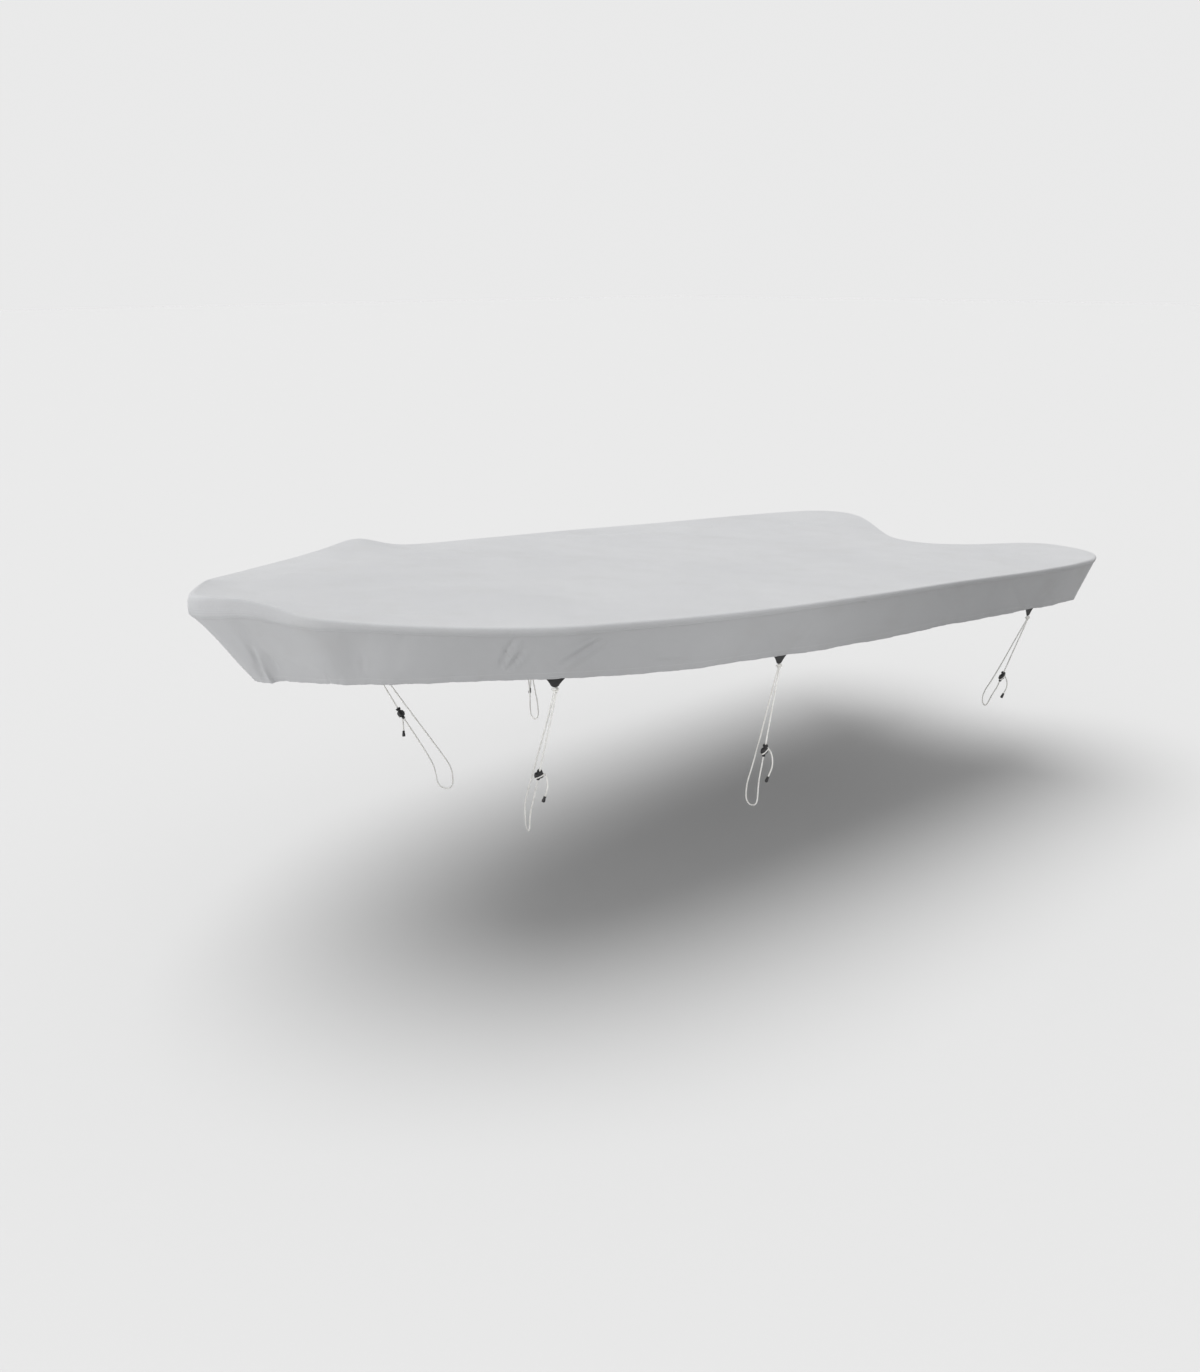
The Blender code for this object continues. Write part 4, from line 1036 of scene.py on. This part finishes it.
CAP = ((CORD / 2 + 0.0001, 0.0004), (CAP_THROAT - 0.0004, 0.0), (CAP_THROAT, -0.0006),
       (CAP_THROAT + 0.0002, -0.0030), (CAP_THROAT + 0.0009, -0.0036),
       (CAP_THROAT + 0.0009, -0.0048), (CAP_THROAT + 0.0003, -0.0054),
       (CAP_THROAT + 0.0006, -0.0085), (CAP_R - 0.0008, -CAP_HIGH * 0.50),
       (CAP_R - 0.0001, -CAP_HIGH * 0.62), (CAP_R, -CAP_HIGH * 0.80),
       (CAP_R - 0.0001, -CAP_HIGH + 0.0022), (CAP_R - 0.0007, -CAP_HIGH + 0.0008),
       (CAP_R - 0.0020, -CAP_HIGH), (CAP_R - 0.0032, -CAP_HIGH + 0.0003),
       (0.0008, -CAP_HIGH + 0.0005))
# the cord's course round the outside of the barrel, in the lock's own axes
CROSSING = ((0.0160, 0.0040, 0.0102), (0.0128, 0.0074, 0.0090), (0.0080, 0.0084, 0.0060),
            (0.0020, 0.0088, 0.0022), (-0.0040, 0.0088, -0.0014), (-0.0100, 0.0082, -0.0050),
            (-0.0144, 0.0066, -0.0080), (-0.0160, 0.0034, -0.0096))
CROSSING_STEP, CROSSING_THIN = 0.0012, 0.86     # the cord is pulled thinner there


def superellipse(half_x, half_y, power, steps):
    """Return a rounded rectangle's outline."""
    outline = []
    for k in range(steps):
        c, s = math.cos(math.tau * k / steps), math.sin(math.tau * k / steps)
        outline.append((half_x * math.copysign(abs(c) ** (2.0 / power), c),
                        half_y * math.copysign(abs(s) ** (2.0 / power), s)))
    return outline


def raised(profile, height):
    """Return a profile at another height."""
    return [(radius, height + z) for radius, z in profile]


def barrel_points(side):
    """Return the rings of points of a lock's barrel, with its mould line and cord groove."""
    top, points = LOCK_HIGH / 2, []
    for ring in range(BARREL_RINGS + 1):
        height = top * math.sin((2.0 * ring / BARREL_RINGS - 1.0) * math.pi / 2)
        shrink = max(1.0 - abs(height / top) ** BARREL_BULGE, 0.0) ** BARREL_ROUND
        shrink = max(shrink, BARREL_END)
        for x, y in superellipse(LOCK_WIDE / 2 * shrink, LOCK_DEEP / 2 * shrink,
                                 BARREL_CORNERS, BARREL_STEPS):
            outer = min(max(side * y, 0.0) / (LOCK_DEEP / 2) * GROOVE_FADE, 1.0)
            off = (height - GROOVE_SLOPE * x - GROOVE_LOW) * GROOVE_SQUARE
            groove = GROOVE_DEEP * math.exp(-(off / GROOVE_WIDE) ** 4) * outer
            inwards = Vector((x, y, 0.0)) / math.hypot(x, y)
            points.append(Vector((x, y, height))
                          - inwards * (MOULD_DEEP * bell(y, MOULD_WIDE) + groove))
    return points


def lock_piece(tie):
    """Return the cord lock: its barrel with the cord's groove, ribbed button and nub."""
    top = LOCK_HIGH / 2
    button = raised(BUTTON_CROWN, top + BUTTON_HIGH)
    for rib in range(RIBS):
        button += raised(RIB, top + BUTTON_HIGH - RIB_TOP - RIB_PITCH * rib)
    button += raised(BUTTON_STEM, top)
    lip, lip_faces = lathe(LIP, LIP_STEPS)
    lip = [Vector((LOCK_WIDE / 2 - LIP_IN + p.z, p.x, p.y)) for p in lip]
    barrel = barrel_points(tie.side), tube_faces(BARREL_RINGS + 1, BARREL_STEPS)
    points, faces = joined([barrel, lathe(button, BUTTON_STEPS),
                            lathe(raised(NUB, -top), NUB_STEPS), (lip, lip_faces)])
    place = hung_frame(tie.lock, tie.axis, tie.aft)
    piece = mesh_object("toggle_" + tie.label, moved(points, place), faces, None, sharp=35.0)
    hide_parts("lock_" + tie.label)
    return piece


def crossing_piece(tie):
    """Return the stretch of cord that shows where it crosses the lock's barrel."""
    place = hung_frame(tie.lock, tie.axis, tie.aft)
    route = [place @ Vector((x, y * tie.side, z)) for x, y, z in CROSSING]
    piece = tube("crossing_" + tie.label, curve_points(route, CROSSING_STEP),
                 CORD / 2 * CROSSING_THIN, CORD_SIDES)
    return piece


def cap_piece(tie):
    """Return the end cap, a bell that closes the cord's free end."""
    points, faces = lathe(CAP, CAP_STEPS)
    place = hung_frame(tie.tail[-1] + tie.tail_down * GAP, tie.tail_down, tie.aft)
    piece = mesh_object("end_" + tie.label, moved(points, place), faces, None, sharp=40.0)
    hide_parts("cap_" + tie.label)
    return piece


def cord_piece(name, route, node):
    """Return one declared stretch of cord."""
    path = curve_points(route, CORD_STEP)
    piece = tube(name, path, CORD / 2, CORD_SIDES)
    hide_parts(node)
    return piece


def tie_pieces(tie):
    """Build one tie and return its pieces by material: cord, plastic and webbing."""
    lock, cap, knot = lock_piece(tie), cap_piece(tie), knot_piece(tie)
    crossing = crossing_piece(tie)
    short = [tie.short_start - tie.axis * BITE, tie.short_end]
    along = (tie.long[1] - tie.long[0]).normalized()
    long_route = [tie.long[0] - along * BITE] + tie.long[1:]
    cords = [
        cord_piece("cord_short_" + tie.label, short, "strand_short_" + tie.label),
        cord_piece("cord_long_" + tie.label, long_route, "strand_long_" + tie.label),
        cord_piece("cord_tail_" + tie.label, tie.tail, "tail_" + tie.label),
    ]
    return cords + [knot, crossing], [lock, cap], [tab_piece(tie)]


# ---------------------------------------------------------------- stitches

def new_group(name, kind, inputs, outputs):
    """Return a node group and its two end nodes, with its sockets in (name, kind) pairs."""
    group = bpy.data.node_groups.new(name, kind)
    for in_out, sockets in (("INPUT", inputs), ("OUTPUT", outputs)):
        for label, socket in sockets:
            group.interface.new_socket(name=label, in_out=in_out, socket_type="NodeSocket" + socket)
    return group, group.nodes.new("NodeGroupInput"), group.nodes.new("NodeGroupOutput")


def stitch_group():
    """Return the nodes that lay a row of stitches along a curve."""
    group, start, end = new_group(
        "stitch_row", "GeometryNodeTree",
        [("Path", "Geometry"), ("Spacing", "Float"), ("Length", "Float"),
         ("Thickness", "Float"), ("Thread", "Material")],
        [("Stitches", "Geometry")])
    resample, tangent, align, half, stitch, instance, realize, dress = (
        group.nodes.new(kind) for kind in (
            "GeometryNodeResampleCurve", "GeometryNodeInputTangent",
            "FunctionNodeAlignRotationToVector", "ShaderNodeMath", "GeometryNodeMeshCylinder",
            "GeometryNodeInstanceOnPoints", "GeometryNodeRealizeInstances",
            "GeometryNodeSetMaterial"))
    resample.mode, align.axis, half.operation = "LENGTH", "Z", "MULTIPLY"
    half.inputs[1].default_value = 0.5
    stitch.inputs["Vertices"].default_value = THREAD_SIDES
    for source, output, target, into in (
            (start, "Path", resample, "Curve"), (start, "Spacing", resample, "Length"),
            (tangent, "Tangent", align, "Vector"), (start, "Thickness", half, 0),
            (half, 0, stitch, "Radius"), (start, "Length", stitch, "Depth"),
            (resample, "Curve", instance, "Points"), (stitch, "Mesh", instance, "Instance"),
            (align, "Rotation", instance, "Rotation"),
            (instance, "Instances", realize, "Geometry"),
            (realize, "Geometry", dress, "Geometry"), (start, "Thread", dress, "Material"),
            (dress, "Geometry", end, "Stitches")):
        group.links.new(source.outputs[output], target.inputs[into])
    return group


def stitch_rows(name, paths, thread, group, length=STITCH, spacing=STITCH_GAP):
    """Return rows of stitches along several paths as one mesh."""
    curve = bpy.data.curves.new(name, "CURVE")
    curve.dimensions = "3D"
    for path in paths:
        spline = curve.splines.new("POLY")
        spline.points.add(len(path) - 1)
        for point, place in zip(spline.points, path):
            point.co = (place.x, place.y, place.z, 1.0)
    obj = link(bpy.data.objects.new(name + "_path", curve))
    modifier = obj.modifiers.new("stitches", "NODES")
    modifier.node_group = group
    values = {"Spacing": spacing, "Length": length, "Thickness": THREAD, "Thread": thread}
    for item in group.interface.items_tree:
        if item.item_type == "SOCKET" and item.in_out == "INPUT" and item.name in values:
            modifier[item.identifier] = values[item.name]
    piece = applied(obj, name)
    piece.data.shade_smooth()
    return piece


def seam_paths():
    """Return the paths of the stitches that hold the flange on the skirts, all round."""
    stern = spread(SKIRT_END, RIM_END, STERN_STEPS)[1:-1]
    paths = []
    for side in SIDES.values():
        path = []
        for distance in SKIRT_LINE + stern:
            section = Section(distance, side)
            point = section.flange_point((section.flange - SEAM_IN) / section.flange)
            point += section.face * STITCH_PROUD
            point.z += lift(point.x, point.y)
            path.append(point)
        paths.append(path)
    return paths


def hem_paths(side):
    """Return the paths of the hem's stitches on one side, on the outside and the inside."""
    outer, inner = [], []
    for distance in SKIRT_LINE[2:-1]:       # not on the skirt's cut ends
        section = Section(distance, side)
        below = section.length - HEM_HIGH + HEM_IN
        outer.append(section.folded(below, CLOTH + GAP - STITCH_PROUD))
        inner.append(section.folded(below, 3 * CLOTH + GAP + STITCH_PROUD))
    return [outer, inner]


def tab_stitch_path(tie, long_steps=16, short_steps=3):
    """Return the box of stitches that holds a tab behind the hem."""
    half, high, low = TAB_TOP / 2 - TAB_BOX_IN, TAB_SEWN - TAB_BOX_DOWN, TAB_BOX_UP
    corners = ((-half, low), (half, low), (half, high), (-half, high), (-half, low))
    outer = []
    for (x0, y0), (x1, y1) in zip(corners, corners[1:]):
        steps = long_steps if abs(x1 - x0) > abs(y1 - y0) else short_steps
        for k in range(steps):
            x, y = x0 + (x1 - x0) * k / steps, y0 + (y1 - y0) * k / steps
            section = Section(tie.distance + x, tie.side)
            outer.append(section.folded(section.length - y, CLOTH + GAP - STITCH_PROUD))
    return outer + outer[:1]


# ---------------------------------------------------------------- materials

def set_or_join(tree, socket, value):
    """Give a socket a number or a colour, or join another node's output to it."""
    if isinstance(value, tuple):
        socket.default_value = value + (1.0,)
    elif isinstance(value, (int, float)):
        socket.default_value = value
    else:
        tree.links.new(value, socket)


def math_node(tree, operation, first, second=None):
    """Return the output of a Math node whose inputs are sockets or numbers."""
    node = tree.nodes.new("ShaderNodeMath")
    node.operation = operation
    set_or_join(tree, node.inputs[0], first)
    if second is not None:
        set_or_join(tree, node.inputs[1], second)
    return node.outputs[0]


def times(tree, first, second):
    """Return a product."""
    return math_node(tree, "MULTIPLY", first, second)


def noise_node(tree, vector, scale, detail, roughness=0.5):
    """Return the output of a Noise node."""
    node = tree.nodes.new("ShaderNodeTexNoise")
    node.inputs["Scale"].default_value = scale
    node.inputs["Detail"].default_value = detail
    node.inputs["Roughness"].default_value = roughness
    tree.links.new(vector, node.inputs["Vector"])
    return node.outputs["Fac"]


def ramp_node(tree, factor, stops):
    """Return a grey from a ramp with two (place, grey) stops."""
    node = tree.nodes.new("ShaderNodeValToRGB")
    for stop, (place, grey) in zip(node.color_ramp.elements, stops):
        stop.position = place
        stop.color = (grey, grey, grey, 1.0)
    tree.links.new(factor, node.inputs["Fac"])
    return node.outputs["Color"]


def mixed(tree, factor, first, second, kind="MIX"):
    """Return the colour that mixes two colours, which are sockets or tuples."""
    node = tree.nodes.new("ShaderNodeMix")
    node.data_type = "RGBA"
    node.blend_type = kind
    sockets = {socket.identifier: socket for socket in node.inputs}
    set_or_join(tree, sockets["Factor_Float"], factor)
    set_or_join(tree, sockets["A_Color"], first)
    set_or_join(tree, sockets["B_Color"], second)
    return next(s for s in node.outputs if s.identifier == "Result_Color")


def patched(tree, noise, low, high, first, second):
    """Return a colour with soft patches of a second one, between two values of a noise."""
    return mixed(tree, ramp_node(tree, noise, ((low, 0.0), (high, 1.0))), first, second)


def shaded(tree, amount, base, value, stops):
    """Return a colour darkened where a value is low."""
    return mixed(tree, amount, base, ramp_node(tree, value, stops), "MULTIPLY")


def weave_group():
    """Return a plain weave: height and the shade between its threads, from a UV in metres."""
    group, start, end = new_group(
        "plain_weave", "ShaderNodeTree", [("Vector", "Vector"), ("Threads a metre", "Float")],
        [("Height", "Float"), ("Shade", "Float")])
    split = group.nodes.new("ShaderNodeSeparateXYZ")
    group.links.new(start.outputs["Vector"], split.inputs[0])
    ripples = []
    for axis in "XY":
        along = times(group, split.outputs[axis], start.outputs["Threads a metre"])
        ripples.append(math_node(group, "SINE", times(group, along, math.pi)))
    warp, weft = (math_node(group, "ABSOLUTE", ripple) for ripple in ripples)
    warp_up = math_node(group, "ADD", times(group, times(group, *ripples), 0.5), 0.5)
    weft_up = math_node(group, "SUBTRACT", 1.0, warp_up)
    high = math_node(group, "MAXIMUM", times(group, warp, warp_up), times(group, weft, weft_up))
    group.links.new(high, end.inputs["Height"])
    group.links.new(math_node(group, "MINIMUM", warp, weft), end.inputs["Shade"])
    return group


def braid_group():
    """Return a braid: height and shade from U round the cord and V along it in metres."""
    group, start, end = new_group(
        "cord_braid", "ShaderNodeTree",
        [("Vector", "Vector"), ("Carriers", "Float"), ("Picks a metre", "Float")],
        [("Height", "Float"), ("Shade", "Float")])
    split = group.nodes.new("ShaderNodeSeparateXYZ")
    group.links.new(start.outputs["Vector"], split.inputs[0])
    u = times(group, split.outputs["X"], start.outputs["Carriers"])
    v = times(group, split.outputs["Y"], start.outputs["Picks a metre"])
    first, second = (
        math_node(group, "ABSOLUTE", math_node(
            group, "SINE", times(group, math_node(group, way, u, v), math.pi)))
        for way in ("ADD", "SUBTRACT"))
    swing = math_node(group, "SINE", times(group, v, math.tau))
    over = math_node(group, "ADD", 0.5, times(group, 0.5, swing))
    under = math_node(group, "SUBTRACT", 1.0, over)
    high = math_node(group, "MAXIMUM", times(group, first, over), times(group, second, under))
    group.links.new(high, end.inputs["Height"])
    group.links.new(times(group, first, second), end.inputs["Shade"])
    return group


WEAVE, BRAID = weave_group(), braid_group()


def new_material(name, **sockets):
    """Return a material, its tree and its Principled shader, with sockets set by name."""
    material = bpy.data.materials.new(name)
    material.use_nodes = True
    tree = material.node_tree
    shader = tree.nodes["Principled BSDF"]
    for label, value in sockets.items():
        shader.inputs[label.replace("_", " ")].default_value = value
    return material, tree, shader


def uv_socket(tree):
    """Return the cloth UV, in metres."""
    node = tree.nodes.new("ShaderNodeUVMap")
    node.uv_map = "cloth"
    return node.outputs["UV"]


def object_socket(tree):
    """Return the object's own coordinates."""
    return tree.nodes.new("ShaderNodeTexCoord").outputs["Object"]


def group_node(tree, group, vector, **values):
    """Return a group node fed by a vector, with its other inputs set by name."""
    node = tree.nodes.new("ShaderNodeGroup")
    node.node_tree = group
    tree.links.new(vector, node.inputs["Vector"])
    for label, value in values.items():
        node.inputs[label.replace("_", " ")].default_value = value
    return node


def bump(tree, shader, height, distance, strength, before=None):
    """Join a bump to the shader, on top of another normal if one is given."""
    node = tree.nodes.new("ShaderNodeBump")
    node.inputs["Distance"].default_value = distance
    node.inputs["Strength"].default_value = strength
    tree.links.new(height, node.inputs["Height"])
    if before is not None:
        tree.links.new(before, node.inputs["Normal"])
    tree.links.new(node.outputs["Normal"], shader.inputs["Normal"])
    return node.outputs["Normal"]


CLOTH_LIGHT = (0.358, 0.361, 0.368)
CLOTH_DARK = (0.335, 0.338, 0.346)
CLOTH_DUST = (0.325, 0.322, 0.316)
WEBBING_NEW, WEBBING_WORN = (0.010, 0.010, 0.011), (0.030, 0.029, 0.028)
CORD_CLEAN, CORD_GRIMY = (0.830, 0.825, 0.800), (0.660, 0.640, 0.600)
PLASTIC_NEW, PLASTIC_SCUFFED = (0.012, 0.012, 0.013), (0.040, 0.040, 0.041)
THREAD_GREY, THREAD_DARKER = (0.50, 0.50, 0.51), 0.72
FLOOR_PALE = (0.425, 0.425, 0.425)


def cloth_material():
    """Return the light grey coated canvas, a little faded and dusty in patches."""
    material, tree, shader = new_material(
        "coated_canvas", Roughness=0.62, Sheen_Weight=0.10, Sheen_Roughness=0.5,
        Specular_IOR_Level=0.25)
    place, flat = object_socket(tree), uv_socket(tree)
    weave = group_node(tree, WEAVE, flat, Threads_a_metre=1150.0)
    faded = noise_node(tree, place, scale=1.7, detail=3.0)
    cloudy = noise_node(tree, place, scale=7.0, detail=4.0, roughness=0.6)
    slub = noise_node(tree, flat, scale=420.0, detail=2.0)
    base = patched(tree, faded, 0.30, 0.72, CLOTH_LIGHT, CLOTH_DARK)
    base = mixed(tree, ramp_node(tree, cloudy, ((0.52, 0.0), (0.80, 0.35))), base, CLOTH_DUST)
    base = shaded(tree, 0.55, base, weave.outputs["Shade"], ((0.0, 0.80), (0.55, 1.0)))
    base = shaded(tree, 1.0, base, slub, ((0.25, 0.93), (0.75, 1.0)))
    tree.links.new(base, shader.inputs["Base Color"])
    rough = ramp_node(tree, cloudy, ((0.25, 0.56), (0.80, 0.70)))
    tree.links.new(rough, shader.inputs["Roughness"])
    wrinkle = noise_node(tree, place, scale=26.0, detail=4.0, roughness=0.55)
    under = bump(tree, shader, wrinkle, distance=0.0008, strength=0.50)
    bump(tree, shader, weave.outputs["Height"], distance=0.00022, strength=0.8, before=under)
    return material


def webbing_material():
    """Return the black woven webbing."""
    material, tree, shader = new_material("black_webbing", Roughness=0.82, Sheen_Weight=0.15)
    place, flat = object_socket(tree), uv_socket(tree)
    weave = group_node(tree, WEAVE, flat, Threads_a_metre=620.0)
    worn = noise_node(tree, place, scale=90.0, detail=4.0, roughness=0.6)
    base = patched(tree, worn, 0.35, 0.85, WEBBING_NEW, WEBBING_WORN)
    # painted shade: the weave's low parts, between the threads, are darkened down to 0.45 of the
    # colour
    base = shaded(tree, 1.0, base, weave.outputs["Height"], ((0.30, 0.45), (1.0, 1.0)))
    tree.links.new(base, shader.inputs["Base Color"])
    bump(tree, shader, weave.outputs["Height"], distance=0.00035, strength=0.9)
    return material


def cord_material():
    """Return the white braided cord."""
    material, tree, shader = new_material("white_cord", Roughness=0.72, Sheen_Weight=0.12)
    braid = group_node(tree, BRAID, uv_socket(tree), Carriers=8.0, Picks_a_metre=260.0)
    grime = noise_node(tree, object_socket(tree), scale=38.0, detail=4.0, roughness=0.6)
    base = patched(tree, grime, 0.42, 0.85, CORD_CLEAN, CORD_GRIMY)
    base = shaded(tree, 0.8, base, braid.outputs["Shade"], ((0.0, 0.62), (0.45, 1.0)))
    tree.links.new(base, shader.inputs["Base Color"])
    bump(tree, shader, braid.outputs["Height"], distance=0.00045, strength=0.9)
    return material


def plastic_material():
    """Return the black moulded plastic of the locks and end caps."""
    material, tree, shader = new_material("black_moulded", Roughness=0.46)
    place = object_socket(tree)
    fine = noise_node(tree, place, scale=1400.0, detail=2.0)
    scuff = noise_node(tree, place, scale=160.0, detail=5.0, roughness=0.7)
    base = patched(tree, scuff, 0.52, 0.78, PLASTIC_NEW, PLASTIC_SCUFFED)
    tree.links.new(base, shader.inputs["Base Color"])
    rough = ramp_node(tree, scuff, ((0.30, 0.40), (0.80, 0.60)))
    tree.links.new(rough, shader.inputs["Roughness"])
    bump(tree, shader, fine, distance=0.00010, strength=0.5)
    return material


def thread_material():
    """Return the grey sewing thread."""
    material, tree, shader = new_material("grey_thread", Roughness=0.60, Sheen_Weight=0.20)
    twist = noise_node(tree, object_socket(tree), scale=900.0, detail=2.0)
    dark = tuple(THREAD_DARKER * c for c in THREAD_GREY)
    base = patched(tree, twist, 0.30, 0.75, THREAD_GREY, dark)
    tree.links.new(base, shader.inputs["Base Color"])
    bump(tree, shader, twist, distance=0.00012, strength=0.6)
    return material


def paint(obj, material):
    """Give an object one material."""
    obj.data.materials.clear()
    obj.data.materials.append(material)


# ---------------------------------------------------------------- floor and light

GROUND, FLOOR = -1.2206, 90.0       # height of the floor, and half its breadth
SURROUND = 0.82
# lamps: the direction they stand in, strength, and softness in degrees
LAMPS = {
    "overhead": ((-0.17, 0.16, 1.0), 3.50, 55.0),
    "bow_side": ((-1.0, 0.0, 0.05), 0.52, 40.0),
}
LAMP_AWAY = 8.0
# panels: place, the point they face, breadth, power in watts, and spread in degrees
PANELS = {
    "bow_panel": ((-4.3, -0.6, -0.80), (-2.1, -0.1, 0.10), 1.2, 6.2, 60.0),
    "port_panel": ((-0.7, -3.2, -0.4), (-0.7, -0.85, -0.05), 1.2, 2.8, 60.0),
}


def add_floor():
    """Lay a plain pale floor."""
    mesh = bpy.data.meshes.new("floor")
    corners = [(-FLOOR, -FLOOR), (FLOOR, -FLOOR), (FLOOR, FLOOR), (-FLOOR, FLOOR)]
    mesh.from_pydata([(x, y, GROUND) for x, y in corners], [], [(0, 1, 2, 3)])
    mesh.update()
    floor = link(bpy.data.objects.new("floor", mesh))
    paint(floor, new_material("floor_pale", Roughness=0.9, Base_Color=FLOOR_PALE + (1.0,),
                              Specular_IOR_Level=0.1)[0])


def aimed(name, data, place, way):
    """Return a lamp at a place that shines in a direction."""
    lamp = link(bpy.data.objects.new(name, data))
    lamp.location = place
    lamp.rotation_euler = way.to_track_quat("-Z", "Y").to_euler()
    return lamp


def add_lights():
    """Add the very soft lamps, and the large square panels, which aren't seen themselves."""
    for name, (direction, strength, softness) in LAMPS.items():
        data = bpy.data.lights.new(name, "SUN")
        data.energy = strength
        data.angle = math.radians(softness)
        aimed(name, data, Vector(direction).normalized() * LAMP_AWAY, -Vector(direction))
    for name, (place, target, wide, power, opening) in PANELS.items():
        data = bpy.data.lights.new(name, "AREA")
        data.energy = power
        data.size = wide
        data.spread = math.radians(opening)
        panel = aimed(name, data, Vector(place), Vector(target) - Vector(place))
        panel.visible_camera = False


def add_world():
    """Set an even pale surround."""
    world = bpy.data.worlds.new("surround")
    world.use_nodes = True
    world.node_tree.nodes["Background"].inputs["Color"].default_value = (1.0, 1.0, 1.0, 1.0)
    world.node_tree.nodes["Background"].inputs["Strength"].default_value = SURROUND
    bpy.context.scene.world = world


# ---------------------------------------------------------------- build

def build():
    """Build every piece and join it to the frame."""
    pieces = []
    cloth, webbing = cloth_material(), webbing_material()
    cord, plastic = cord_material(), plastic_material()
    grey_thread = thread_material()
    for tie in ALL_TIES:
        for made, material in zip(tie_pieces(tie), (cord, plastic, webbing)):
            for piece in made:
                paint(piece, material)
            pieces += made
    top = top_cloth()
    paint(top, cloth)
    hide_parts("top_cloth")
    pieces.append(top)
    rows = stitch_group()
    for side_name, side in SIDES.items():
        skirt = skirt_cloth("cloth_skirt_" + side_name, side)
        paint(skirt, cloth)
        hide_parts("skirt_" + side_name)
        skirt_cut(side)
        pieces.append(skirt)
        pieces.append(stitch_rows("stitches_hem_" + side_name, hem_paths(side),
                                  grey_thread, rows))
    top_cut()
    pieces.append(stitch_rows("stitches_seam", seam_paths(), grey_thread, rows))
    pieces.append(stitch_rows("stitches_tabs", [tab_stitch_path(tie) for tie in ALL_TIES],
                              grey_thread, rows, TAB_STITCH, TAB_STITCH_GAP))
    for piece in pieces:
        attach(piece, "root")


build()
add_floor()
add_world()
add_lights()
bpy.context.scene.view_settings.view_transform = "Standard"
